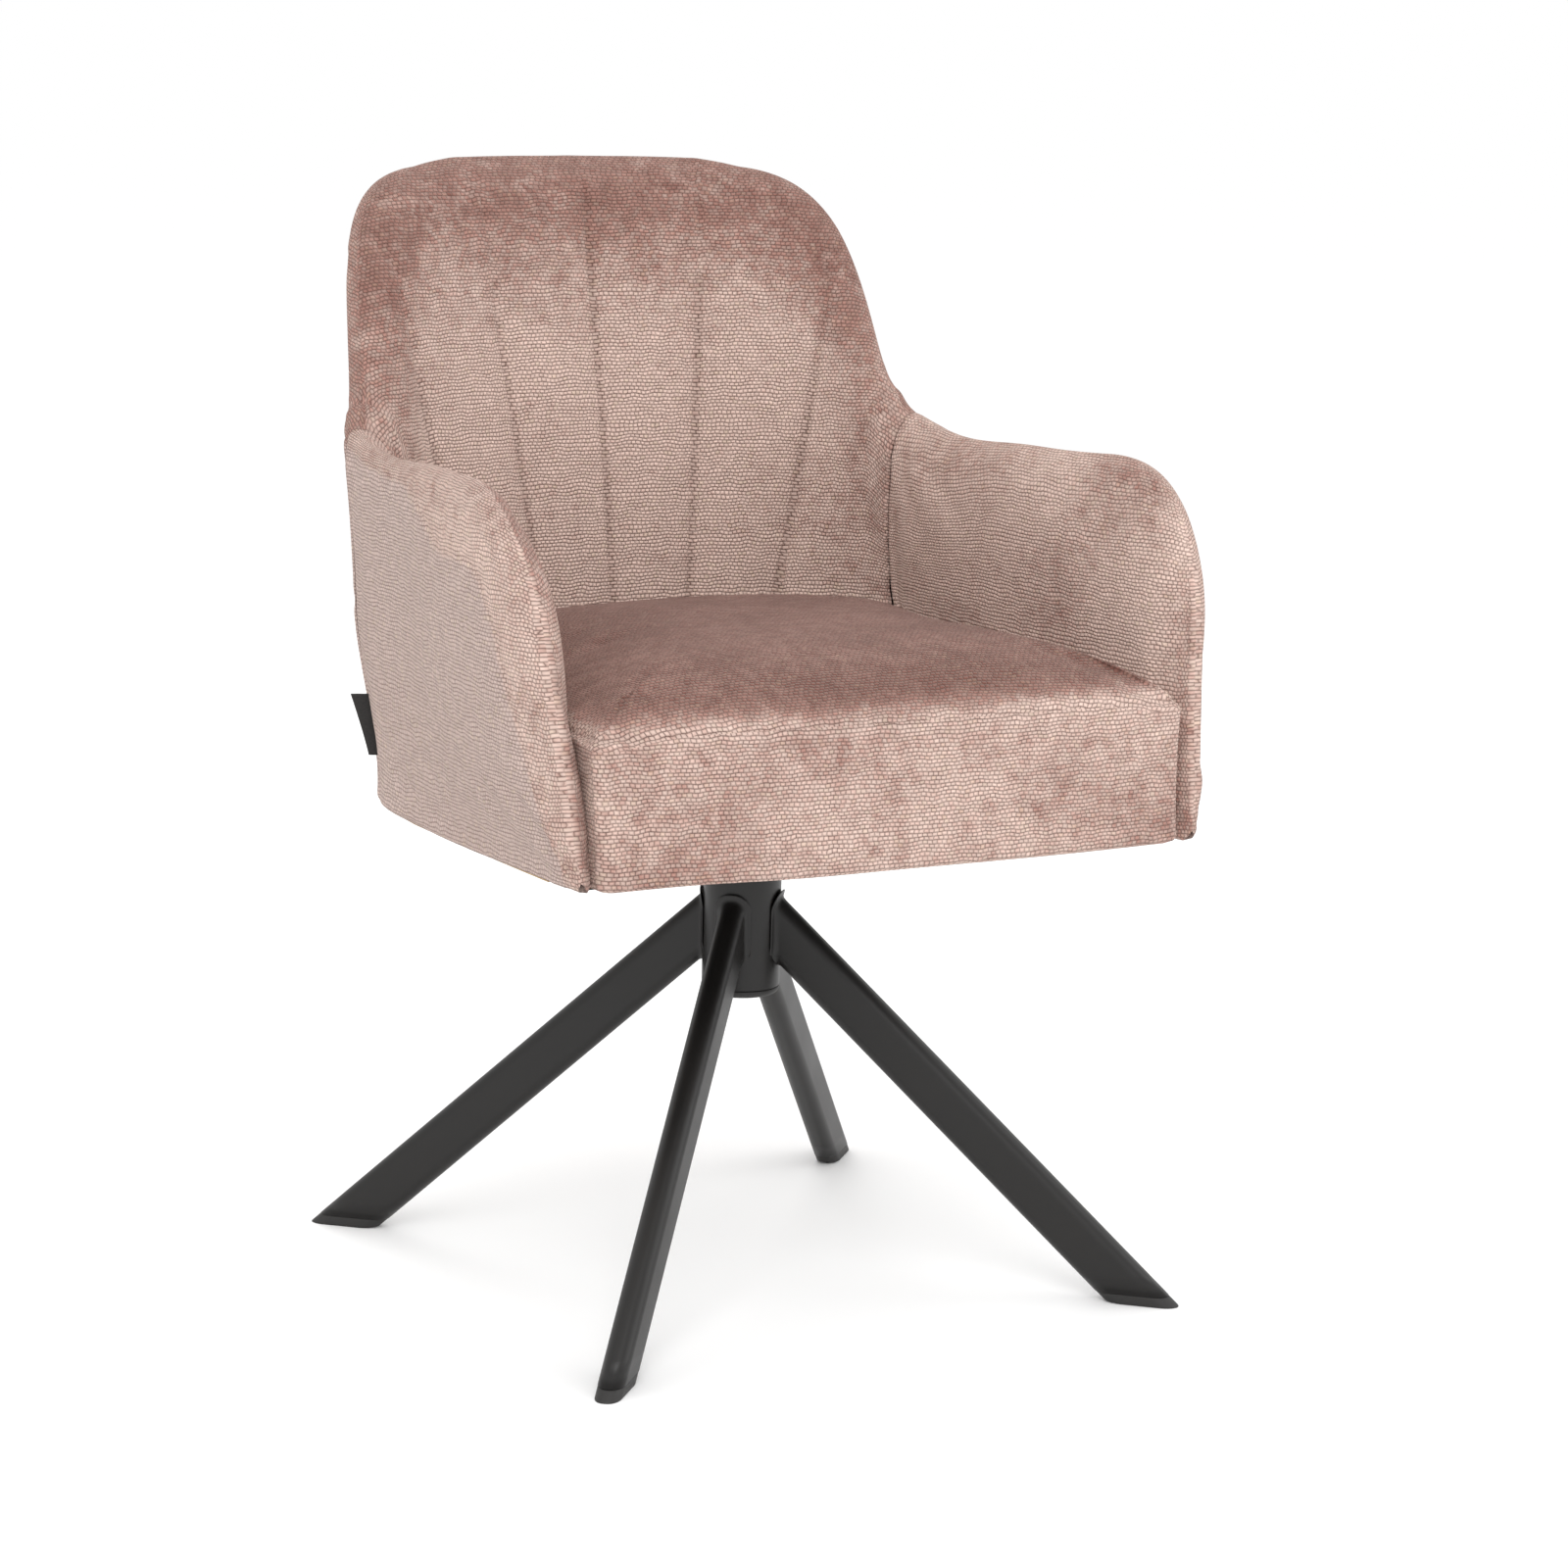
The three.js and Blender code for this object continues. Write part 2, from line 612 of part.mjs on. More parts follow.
const clipShape = new THREE.Shape();
const clipInner = grooveRadius + gap;
const clipOuter = clipInner + clipWidth;
const clipOpening = 0.5;
clipShape.absarc(0, 0, clipOuter, clipOpening, 2 * Math.PI - clipOpening, false);
clipShape.absarc(0, 0, clipInner, 2 * Math.PI - clipOpening, clipOpening, true);
const clipGeometry = new THREE.ExtrudeGeometry(clipShape, {
  depth: clipThickness, bevelEnabled: false, curveSegments: 12,
});
clipGeometry.translate(0, 0, clipBottom);
addPiece('retaining_clip', clipGeometry, 'zinc', seat);
addPiece('lower_washer', ringOf(
  spindleRadius + gap, thrustWasherDiameter / 2 - 5, lowerWasherBottom,
  lowerWasherBottom + thrustWasherThickness,
), 'zinc', seat);
addPiece('thrust_washer', ringOf(
  spindleRadius + gap, thrustWasherDiameter / 2, thrustBottom, thrustTop,
), 'zinc', seat);

const boltPlaces = [[1, 1], [-1, 1], [-1, -1], [1, -1]].map(([x, y]) => [
  x * boltSpacing / 2, y * boltSpacing / 2,
]);
const boltHole = boltDiameter + 2 * slip;

function holesAt(diameter, bottom, top) {
  return boltPlaces.map(([x, y]) => rod(diameter, bottom, top, x, y));
}

addPiece('swivel_plate', cut(
  slab(roundedRectangle(plateSize, plateSize, plateCornerRadius), plateBottom, plateTop),
  rod(spindleDiameter + 2 * gap, plateBottom - 1, plateTop + 1, 0, 0, roundSides),
  ...holesAt(boltHole, plateBottom - 1, plateTop + 1),
), 'steel', seat);

// ---- seat board, dust cover and fasteners ----
const teeNutBarrelHole = teeNutBarrel + 2 * gap;
const teeNutTop = seatBoardTop + gap + teeNutFlangeThickness;
const teeNutBottom = seatBoardBottom + 2;
const boltTop = teeNutTop - 0.5;

// Wood screws go in level through the shell boards into the edge of the seat board.
const screwLength = 42;
const screwDiameter = 4;
const screwHead = 8.5;
const screwHeadDepth = 3;
const screwHeight = seatBoardBottom + seatBoardThickness / 2;
const screwPlaces = [-1.45, -1.15, -0.5, 0, 0.5, 1.15, 1.45];

function screwSolid(grow) {
  const r = screwDiameter / 2 + grow;
  const head = screwHead / 2 + grow;
  return turned([
    [0, -grow], [head, -grow], [head, grow], [r, screwHeadDepth + grow],
    [r, screwLength - 5], [0, screwLength + grow],
  ], smallSides);
}

// Turns a piece made along +Z so that it points inwards at a place u of the shell.
function aimedInwards(geometry, u, offset) {
  const start = inwards(u, screwHeight, offset);
  const end = inwards(u, screwHeight, offset + 1);
  const direction = new THREE.Vector3(end[0] - start[0], end[1] - start[1], 0).normalize();
  const turn = new THREE.Quaternion().setFromUnitVectors(new THREE.Vector3(0, 0, 1), direction);
  geometry.applyQuaternion(turn);
  geometry.translate(...start);
  return geometry;
}

function screwStart(u) {
  return paddingAt(u, seatUnderside) / 2 - shellBoardThickness / 2 + 1;
}

const backBoardEnd = seamPlace - 0.03;
const armBoardStart = seamPlace + 0.03;
const backPlaces = spaced(-backBoardEnd, backBoardEnd, 24);
const leftPlaces = spaced(armBoardStart, shellBoardArmEnd, 12);
const rightPlaces = leftPlaces.map((u) => -u).reverse();
const pockets = [backPlaces, leftPlaces, rightPlaces].map(boardPocket);

const screwHoles = screwPlaces.map((u) => aimedInwards(screwSolid(gap), u, screwStart(u)));
const boardBoltHoles = holesAt(teeNutBarrelHole, seatBoardBottom - 1, seatBoardTop + 1);
addPiece('seat_board', cut(
  seatBoardSolid(0), ...pockets, ...boardBoltHoles, ...screwHoles,
), 'plywood', seat);

const coverRings = [dustCoverTop - dustCoverThickness, dustCoverTop].map(
  (z) => seatRing(z, () => dustCoverInset, dustCoverInset),
);
addPiece('dust_cover', cut(
  ringSolid(coverRings, [0, 0, coverRings[0][0][2]], [0, 0, dustCoverTop]),
  ...holesAt(boltHole, plateBottom, seatUnderside + 1),
), 'cloth', seat);

boltPlaces.forEach(([x, y], i) => {
  const number = i + 1;
  const washerTop = plateBottom - gap;
  const washerBottom = washerTop - washerThickness;
  const headTop = washerBottom - gap;
  const washer = ringOf(boltHole / 2, washerDiameter / 2, washerBottom, washerTop, smallSides);
  washer.translate(x, y, 0);
  addPiece(`bolt_washer_${number}`, washer, 'zinc', seat);
  const boltRadius = boltDiameter / 2 - gap;
  const socket = 2.5;
  const bolt = turned([
    [0, headTop - boltHeadHeight + socket], [socket, headTop - boltHeadHeight + socket],
    [socket, headTop - boltHeadHeight], [boltHeadDiameter / 4, headTop - boltHeadHeight],
    [boltHeadDiameter / 2 - 1, headTop - boltHeadHeight + 1.2], [boltHeadDiameter / 2, headTop - 1.2],
    [boltHeadDiameter / 2, headTop], [boltRadius, headTop], [boltRadius, boltTop - 1],
    [boltRadius - 1, boltTop], [0, boltTop],
  ], smallSides);
  bolt.translate(x, y, 0);
  addPiece(`seat_bolt_${number}`, bolt, 'zinc', seat);
  const nut = turned([
    [boltDiameter / 2, teeNutBottom], [teeNutBarrel / 2, teeNutBottom],
    [teeNutBarrel / 2, seatBoardTop + gap], [teeNutFlange / 2, seatBoardTop + gap],
    [teeNutFlange / 2, teeNutTop], [boltDiameter / 2, teeNutTop], [boltDiameter / 2, teeNutBottom],
  ], smallSides);
  nut.translate(x, y, 0);
  addPiece(`tee_nut_${number}`, nut, 'zinc', seat);
});

// ---- shell boards and their screws ----
addPiece('back_board', cut(shellBoard(backPlaces), ...screwHoles), 'plywood', seat);
addPiece('left_arm_board', cut(shellBoard(leftPlaces), ...screwHoles), 'plywood', seat);
addPiece('right_arm_board', cut(shellBoard(rightPlaces), ...screwHoles), 'plywood', seat);
screwPlaces.forEach((u, i) => {
  addPiece(`frame_screw_${i + 1}`, aimedInwards(screwSolid(0), u, screwStart(u)), 'zinc', seat);
});

// ---- upholstery ----
const seatBoardCut = seatBoardSolid(slip + gap);
const hemHeight = () => seatUnderside;
const padSplit = 0.0025;            // half the plan gap between the back pad and an arm pad

const armPadPlaces = spaced(seamPlace + padSplit, 2, 18, 1.7);
const backPadPlaces = spaced(-seamPlace + padSplit, seamPlace - padSplit, 28);

function pad(places) {
  return shellPart({
    places, rows: 13, low: hemHeight, high: rimHeight, face: padFace, crowdTop: 1.4,
  });
}

const backPad = pad(backPadPlaces);
const leftPad = pad(armPadPlaces);
const rightPad = pad(armPadPlaces.map((u) => -u));
addPiece('back_upholstery', cut(backPad, pockets[0], seatBoardCut, ...screwHoles), 'fabric', seat);
addPiece('left_arm_upholstery', cut(leftPad, pockets[1], seatBoardCut, ...screwHoles), 'fabric', seat);
addPiece('right_arm_upholstery', cut(rightPad, pockets[2], seatBoardCut, ...screwHoles), 'fabric', seat);

const nutPockets = holesAt(teeNutFlange + 2, seatBoardTop - 1, teeNutTop + 2);
addPiece('seat_cushion', cut(cushionSolid(), seatBoardCut, ...nutPockets), 'fabric', seat);

// The tag stands out of the side seam, and its foot leans back to the shell as it draws in.
const tag = slab(roundedRectangle(tagThickness, tagLength, tagThickness / 2), 0, tagHeight);
const tagFoot = inwards(-seamPlace, tagLowEdge, 0);
const tagHead = inwards(-seamPlace, tagLowEdge + tagHeight, 0);
const tagOut = inwards(-seamPlace, tagLowEdge + tagHeight, -1);
const outwards = new THREE.Vector3(tagOut[0] - tagHead[0], tagOut[1] - tagHead[1], 0).normalize();
const alongSeam = new THREE.Vector3(...tagHead).sub(new THREE.Vector3(...tagFoot)).normalize();
const tagFace = new THREE.Vector3().crossVectors(outwards, alongSeam).normalize();
const tagDirection = new THREE.Vector3().crossVectors(alongSeam, tagFace);
tag.translate(0, tagLength / 2 + tagStandOff, 0);
tag.applyMatrix4(new THREE.Matrix4().makeBasis(tagFace, tagDirection, alongSeam));
tag.translate(...tagFoot);
addPiece('side_tag', tag, 'cloth', seat);

export default chair;
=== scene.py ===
import json
import math
import bpy
import numpy as np
from mathutils import Matrix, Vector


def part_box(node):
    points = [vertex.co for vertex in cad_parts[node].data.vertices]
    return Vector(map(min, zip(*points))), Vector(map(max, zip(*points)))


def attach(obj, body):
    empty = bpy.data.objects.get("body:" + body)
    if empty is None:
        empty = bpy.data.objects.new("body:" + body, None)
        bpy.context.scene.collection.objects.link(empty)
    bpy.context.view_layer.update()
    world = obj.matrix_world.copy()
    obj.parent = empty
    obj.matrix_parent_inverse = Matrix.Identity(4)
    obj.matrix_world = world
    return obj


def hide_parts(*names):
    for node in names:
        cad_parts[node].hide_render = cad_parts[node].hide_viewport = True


# Upholstered swivel armchair. Metres, +Z up, the seat faces -Y.
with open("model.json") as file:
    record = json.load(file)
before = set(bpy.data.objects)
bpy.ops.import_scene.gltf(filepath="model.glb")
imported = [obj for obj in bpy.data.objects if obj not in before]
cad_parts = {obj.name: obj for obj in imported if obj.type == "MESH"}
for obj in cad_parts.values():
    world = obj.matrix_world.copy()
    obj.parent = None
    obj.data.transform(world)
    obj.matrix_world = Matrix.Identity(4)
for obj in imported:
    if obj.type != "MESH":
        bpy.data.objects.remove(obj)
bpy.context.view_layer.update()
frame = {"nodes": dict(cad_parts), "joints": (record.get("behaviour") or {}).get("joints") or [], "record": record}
nodes = frame["nodes"]
axisY = frame["joints"][0]["pos_m"][1]  # the swivel axis stands at x = 0 and this y
print("frame loaded:", len(nodes), "nodes")

# the shell, with its plan measured from the swivel axis
shell = dict(
    top=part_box("back_upholstery")[1].z, belt=0.660, underside=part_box("back_upholstery")[0].z,
    halfWidth=(0.284, 0.280, 0.337),    # at the underside, the belt and the top
    reach=(0.271, 0.319, 0.369),        # swivel axis to the back, at the same heights
    planPower=0.95, shoulderY=0.142, shoulderYLow=0.031, shoulderRise=0.150,
    armFront=(-0.250, -0.195), armSpread=(-0.010, 0.035),
    shoulderHeight=0.647, shoulderLift=0.031, liftReach=0.87, armHeight=0.660,
    armRoll=0.123, armRollPower=2.2,
    flankEnd=0.745, flankPower=4.2, flankEase=1.64, fillet=0.009, filletWidth=0.035, shoulderDip=0.016,
    armThickness=(0.040, 0.050), thickenFrom=0.480, thickenTo=0.620,
    frontThinning=0.010, backThickness=0.050, rimRounding=0.032, hemRounding=0.010, seamPlace=0.82,
    sideBulge=0.010, sideTuck=0.008, cornerRise=0.008,
)


def ease(value):
    # 3t^2 - 2t^3, with t held between 0 and 1
    t = np.clip(value, 0, 1)
    return t * t * (3 - 2 * t)


def throughHeights(z, sizes):
    # the quadratic in z that takes three sizes at the underside, the belt and the top
    a, b, c = shell["underside"], shell["belt"], shell["top"]
    low, belt, top = sizes
    return (low * (z - b) * (z - c) / ((a - b) * (a - c)) + belt * (z - a) * (z - c) / ((b - a) * (b - c))
            + top * (z - a) * (z - b) / ((c - a) * (c - b)))


def shoulderAt(z):
    # y where the curved back runs into the straight arm, eased up from the underside
    rise = ease((z - shell["underside"]) / shell["shoulderRise"])
    return shell["shoulderYLow"] + (shell["shoulderY"] - shell["shoulderYLow"]) * rise


def planPoint(u, z):
    # |u| from 0 to 1 is a quarter of a squared ellipse, width * sin(t)^p by shoulder + reach * cos(t)^p.
    # |u| from 1 to 2 runs straight on to the arm's front and spreads by |u|^1.5. The sign is the side.
    place = np.abs(u)
    width, reach = throughHeights(z, shell["halfWidth"]), throughHeights(z, shell["reach"])
    shoulder = shoulderAt(z)
    turn = np.clip(place, 0, 1) * math.pi / 2
    power = shell["planPower"]
    backX = width * np.sin(turn) ** power
    backY = shoulder + (reach - shoulder) * np.clip(np.cos(turn), 0, 1) ** power
    along = np.clip(place - 1, 0, None)
    rise = (z - shell["underside"]) / (shell["belt"] - shell["underside"])
    spread = shell["armSpread"][0] * (1 - rise) + shell["armSpread"][1] * rise
    front = shell["armFront"][0] * (1 - rise) + shell["armFront"][1] * rise
    x = np.where(place <= 1, backX, width + spread * along ** 1.5)
    y = np.where(place <= 1, backY, shoulder + (front - shoulder) * along)
    return np.where(u < 0, -1, 1) * x, y


def inwards(u, z, offset):
    # the plan point moved by an offset along the plan's inward normal
    step = 1e-3
    ax, ay = planPoint(u - step, z)
    bx, by = planPoint(u + step, z)
    dx, dy = bx - ax, by - ay
    length = np.hypot(dx, dy)
    x, y = planPoint(u, z)
    return np.stack([x + dy / length * offset, y - dx / length * offset + axisY, z + 0 * x], -1)


def armLine(place):
    # the arm's rim: a slow rise, a lift that dies away along the arm, and a fillet at the flank's foot
    lift = np.clip(1 - (place - 0.7) / shell["liftReach"], 0, 1) ** 2 * np.clip((place - 0.3) / 0.4, 0, 1)
    rise = (shell["armHeight"] - shell["shoulderHeight"]) * np.clip(place - 1, 0, None)
    fillet = shell["fillet"] * np.exp(-((place - shell["flankEnd"]) / shell["filletWidth"]) ** 2)
    return shell["shoulderHeight"] + rise + shell["shoulderLift"] * lift + fillet


def rimHeight(u):
    # back: arm line + height * (1 - share^p)^q; arm: the arm line less a superellipse corner
    place = np.abs(u)
    share = np.clip(place / shell["flankEnd"], 0, 1)
    flank = (1 - share ** shell["flankPower"]) ** shell["flankEase"]
    back = np.minimum(shell["top"], armLine(place) + (shell["top"] - shell["shoulderHeight"]) * flank)
    fromFront = (shell["shoulderY"] - shell["armFront"][0]) * (2 - place)
    corner = np.clip(1 - fromFront / shell["armRoll"], 0, 1)
    power = shell["armRollPower"]
    arm = armLine(place) - shell["armRoll"] * (1 - (1 - corner ** power) ** (1 / power))
    return np.where(place <= 1, back, arm)


def rimDistance(u, z):
    # how far a place on the shell lies from its padded rim, measured in the shell's surface
    place = np.abs(u)
    power = shell["armRollPower"]
    corner = np.clip(1 - (shell["shoulderY"] - shell["armFront"][0]) * (2 - place) / shell["armRoll"], 0, 1)
    above = np.clip((z - armLine(place)) / shell["armRoll"] + 1, 0, None)
    arm = shell["armRoll"] * (1 - (corner ** power + above ** power) ** (1 / power))
    step = 1e-3
    low, high = np.clip(place - step, 0, None), place + step
    ax, ay = planPoint(low, rimHeight(low))
    bx, by = planPoint(high, rimHeight(high))
    slope = (rimHeight(high) - rimHeight(low)) / np.hypot(bx - ax, by - ay)
    back = (rimHeight(place) - z) / np.hypot(1, slope)
    return np.clip(np.where(place > 1, arm, back), 0, None)


def paddingAt(u, z):
    # thickness of the padding: arm low to high, less towards the nose, eased into the back's
    low, high = shell["armThickness"]
    rise = ease((z - shell["thickenFrom"]) / (shell["thickenTo"] - shell["thickenFrom"]))
    arm = low + (high - low) * rise - shell["frontThinning"] * ease((np.abs(u) - 1.45) / 0.5)
    return arm + (shell["backThickness"] - arm) * ease((0.98 - np.abs(u)) / 0.55)


def padOffset(inner, u, z):
    # half the padding out or in, rounded over the rim like a circle and tucked in at the hem
    padding = paddingAt(u, z)
    bulge = np.sqrt(1 - (1 - np.clip(rimDistance(u, z) / shell["rimRounding"], 0, 1)) ** 2)
    hem = np.clip(1 - (z - shell["underside"]) / shell["hemRounding"], 0, 1)
    tuck = shell["hemRounding"] * (1 - np.sqrt(1 - hem ** 2))
    if inner:
        return padding / 2 * (1 + bulge) - tuck * 0.3
    place = np.abs(u)
    full = ease((z - shell["underside"]) / 0.05) * ease((0.66 - z) / 0.14) * ease((place - 1.25) / 0.4)
    slim = ease((place - 0.78) / 0.15) * ease((1.45 - place) / 0.3) * ease((z - 0.40) / 0.12)
    return padding / 2 * (1 - bulge) + tuck - shell["sideBulge"] * full + shell["sideTuck"] * slim * bulge


def smoothNoise(points, scale, seed, waves=14):
    # a sum of sine waves of random direction and phase, about -1 to 1, with features of the given size
    rng = np.random.default_rng(seed)
    direction = rng.normal(size=(waves, points.shape[-1]))
    direction *= (rng.uniform(0.6, 1.6, waves) * math.pi / scale / np.linalg.norm(direction, axis=1))[:, None]
    phase = rng.uniform(0, 2 * math.pi, waves)
    return np.sin(points @ direction.T + phase).sum(-1) / math.sqrt(waves)


def normalsOf(grid):
    # unit cross product of the grid's two directions, at every point
    across, along = np.gradient(grid, axis=0), np.gradient(grid, axis=1)
    normal = np.cross(across, along)
    return normal / np.maximum(np.linalg.norm(normal, axis=-1, keepdims=True), 1e-12)


def gridFaces(rows, columns, start=0, flip=False):
    # four-cornered faces between neighbouring rows and columns
    index = np.arange(rows * columns).reshape(rows, columns) + start
    quads = np.stack([index[:-1, :-1], index[1:, :-1], index[1:, 1:], index[:-1, 1:]], -1).reshape(-1, 4)
    return quads[:, ::-1] if flip else quads


def stripFaces(a, b):
    # faces between two lines of points
    return np.stack([a[:-1], a[1:], b[1:], b[:-1]], -1)


def makeMesh(name, points, groups, values=None):
    # groups are (faces, uv of every point); points that coincide become one and empty faces go
    _, first, inverse = np.unique(np.round(points, 6), axis=0, return_index=True, return_inverse=True)
    corners = np.concatenate([faces for faces, _ in groups])
    cloth = np.concatenate([uv[faces] for faces, uv in groups])
    faces = inverse.reshape(-1)[corners]
    keep = faces != np.roll(faces, 1, axis=1)
    whole = keep.sum(1) > 2
    faces, keep, cloth = faces[whole], keep[whole], cloth[whole]
    mesh = bpy.data.meshes.new(name)
    mesh.vertices.add(len(first))
    mesh.vertices.foreach_set("co", points[first].astype(np.float32).ravel())
    mesh.loops.add(int(keep.sum()))
    mesh.loops.foreach_set("vertex_index", faces[keep].astype(np.int32))
    mesh.polygons.add(len(faces))
    starts = np.concatenate([[0], np.cumsum(keep.sum(1))[:-1]])
    mesh.polygons.foreach_set("loop_start", starts.astype(np.int32))
    layer = mesh.uv_layers.new(name="cloth")
    layer.data.foreach_set("uv", cloth[keep].astype(np.float32).ravel())
    for key, value in (values or {}).items():
        attribute = mesh.attributes.new(key, "FLOAT", "POINT")
        attribute.data.foreach_set("value", value[first].astype(np.float32))
    mesh.polygons.foreach_set("use_smooth", np.full(len(faces), True))
    mesh.update(calc_edges=True)
    mesh.validate()
    if signedVolume(mesh) < 0:
        mesh.flip_normals()
    piece = bpy.data.objects.new(name, mesh)
    bpy.context.scene.collection.objects.link(piece)
    return piece


def signedVolume(mesh):
    # sum of the corner triple products, positive when the faces point outwards
    mesh.calc_loop_triangles()
    triangles = np.empty(len(mesh.loop_triangles) * 3, np.int32)
    mesh.loop_triangles.foreach_get("vertices", triangles)
    co = np.empty(len(mesh.vertices) * 3, np.float32)
    mesh.vertices.foreach_get("co", co)
    a, b, c = (co.reshape(-1, 3)[triangles.reshape(-1, 3)[:, i]].astype(float) for i in range(3))
    return float(np.einsum("ij,ij->i", a, np.cross(b, c)).sum())


# the back's stitched channels: five seams that fan out upwards
channels = dict(
    spread=(0.0, 0.0775, 0.160),      # distance of each seam pair from the middle, at the height below
    fan=(0.0, 0.105, 0.21), height=0.600,
    endsAt=(0.858, 0.790, 0.735), fade=0.075,
    depth=0.0013, width=0.0022, pillow=0.0020, pillowWidth=0.016,
)
# the three padded covers: fine grid, coarse cage for the cloth run, and the most that the run may move them
pads = dict(
    back=dict(piece="back_pad", node="back_upholstery", columns=337, rows=200, crowd=1.45,
              coarse=(57, 37), cap=0.007, seed=3),
    left=dict(piece="left_arm_pad", node="left_arm_upholstery", columns=200, rows=170, crowd=1.45,
              coarse=(41, 33), cap=0.005, seed=5),
    right=dict(piece="right_arm_pad", node="right_arm_upholstery", columns=200, rows=170, crowd=1.45,
               coarse=(41, 33), cap=0.005, seed=7),
)
# seams and gathers of the covers, and slow waves of the foam under them
creases = dict(padSeam=0.0028, padSeamWidth=0.0055, welt=0.0007, weltWidth=0.0024, weltFromRim=(0.014, 0.048),
               swell=0.0035, pucker=0.00012, puckerLength=0.011, ripple=0.0007, rippleSize=0.11)


def seamX(k, z):
    # signed place of channel seam k, -2 to 2, measured along x
    return np.sign(k) * (channels["spread"][abs(k)] + channels["fan"][abs(k)] * (z - channels["height"]))


def seamPlaces():
    # the plan place u on the back's inner face of the five seams and both ends, for a table of heights
    heights = np.linspace(shell["underside"], 0.78, 40)
    u = np.linspace(-shell["seamPlace"], shell["seamPlace"], 500)
    table = np.empty((len(heights), 7))
    for row, z in enumerate(heights):
        x = inwards(u, z, padOffset(True, u, z))[:, 0]
        table[row] = [u[0], *np.interp([seamX(k, z) for k in (-2, -1, 0, 1, 2)], x, u), u[-1]]
    return heights, table


seamHeights, seamTable = seamPlaces()


def backColumns(s, z):
    # u for a share s of the way across, so that the seams lie on columns, with columns close beside them
    knots = 6
    part = np.clip((s * knots).astype(int), 0, knots - 1)
    t = s * knots - part
    t = t - 0.72 * np.sin(2 * math.pi * t) / (2 * math.pi)
    held = np.clip(z, seamHeights[0], seamHeights[-1])
    table = np.stack([np.interp(held, seamHeights, seamTable[:, k]) for k in range(7)], -1)
    low = np.take_along_axis(table, part[..., None], -1)[..., 0]
    high = np.take_along_axis(table, part[..., None] + 1, -1)[..., 0]
    return low + (high - low) * t


def padGrid(kind, inner, s, t, crowd):
    # s runs across the pad and t from the hem to the rim; gives u and z
    s, t = np.broadcast_arrays(s[:, None], t[None, :])
    if kind == "back":
        top = backColumns(s, np.full(s.shape, 0.78))
        z = shell["underside"] + (rimHeight(top) - shell["underside"]) * (1 - (1 - t) ** crowd)
        follow = 1 - ease((t - 0.72) / 0.28)
        return top + (backColumns(s, z) - top) * follow, z
    start = shell["seamPlace"]
    u = start + (2 - start) * (1 - (1 - s) ** 1.7)
    corner = np.clip((u - 2) / 0.02 + 1, 0, 1)
    low = shell["underside"] + shell["cornerRise"] * (1 - np.sqrt(1 - corner ** 2))
    u = u if kind == "left" else -u
    return u, low + (rimHeight(u) - low) * (1 - (1 - t) ** crowd)


def clothUv(u, z, inner):
    # width of cloth along the plan curve and height of cloth, plus what goes over the rounded rim
    table = np.linspace(-2, 2, 2001)
    x, y = planPoint(table, np.full(table.shape, 0.6))
    length = np.concatenate([[0], np.cumsum(np.hypot(np.diff(x), np.diff(y)))])
    step = 2e-3
    along = np.interp(u, table, length)
    distance = rimDistance(u, z)
    du = (rimDistance(u + step, z) - rimDistance(u - step, z)) / (
        np.interp(u + step, table, length) - np.interp(u - step, table, length))
    dz = (rimDistance(u, z + step) - rimDistance(u, z - step)) / (2 * step)
    slope = np.maximum(np.hypot(du, dz), 1e-6)
    rounding = shell["rimRounding"]
    share = np.clip(1 - distance / rounding, 0, 1)
    extra = 0.0285 * np.arcsin(share) - rounding * share
    offset = 0.9 if inner else 0
    return np.stack([along - extra * du / slope + offset, z - extra * dz / slope], -1)


def weltDistance(u, z):
    # how far the outer panel's edge stays behind the rim: close to it over the arms and at the nose's foot
    near, far = creases["weltFromRim"]
    return near + (far * ease((z - 0.36) / 0.24) - near * 0.4) * ease((np.abs(u) - 1.25) / 0.35)


def creaseDepth(kind, inner, u, z, grid):
    # how far stitched lines draw the cover in, and how closely a point lies to a line of stitching
    depth = np.zeros(u.shape)
    stitched = np.zeros(u.shape)
    c = channels
    if kind == "back" and inner:
        for k in (-2, -1, 0, 1, 2):
            away = np.abs(grid[..., 0] - seamX(k, np.minimum(z, c["endsAt"][abs(k)])))
            fade = ease((c["endsAt"][abs(k)] - z) / c["fade"])
            line = np.exp(-(away / c["width"]) ** 2) * fade
            depth += c["depth"] * line + c["pillow"] * np.exp(-(away / c["pillowWidth"]) ** 2) * fade
            stitched = np.maximum(stitched, line)
            pucker = np.sin(2 * math.pi * z / creases["puckerLength"] + k * 1.7 + 8 * smoothNoise(
                grid, 0.09, 40 + k))
            depth += creases["pucker"] * pucker * np.exp(-(away / 0.012) ** 2) * fade
    fromSeam = np.abs(np.abs(u) - shell["seamPlace"]) * 0.42
    line = np.exp(-(fromSeam / creases["padSeamWidth"]) ** 2)
    fadeTop = 1 - 0.35 * ease((z - 0.60) / 0.06)
    depth += creases["padSeam"] * line * fadeTop
    stitched = np.maximum(stitched, np.exp(-(fromSeam / 0.0025) ** 2))
    if not inner:
        away = np.abs(rimDistance(u, z) - weltDistance(u, z))
        line = np.exp(-(away / creases["weltWidth"]) ** 2)
        depth += creases["welt"] * line + 0.0010 * np.exp(-(away / 0.012) ** 2)
        stitched = np.maximum(stitched, 0.45 * line)
    return depth, stitched


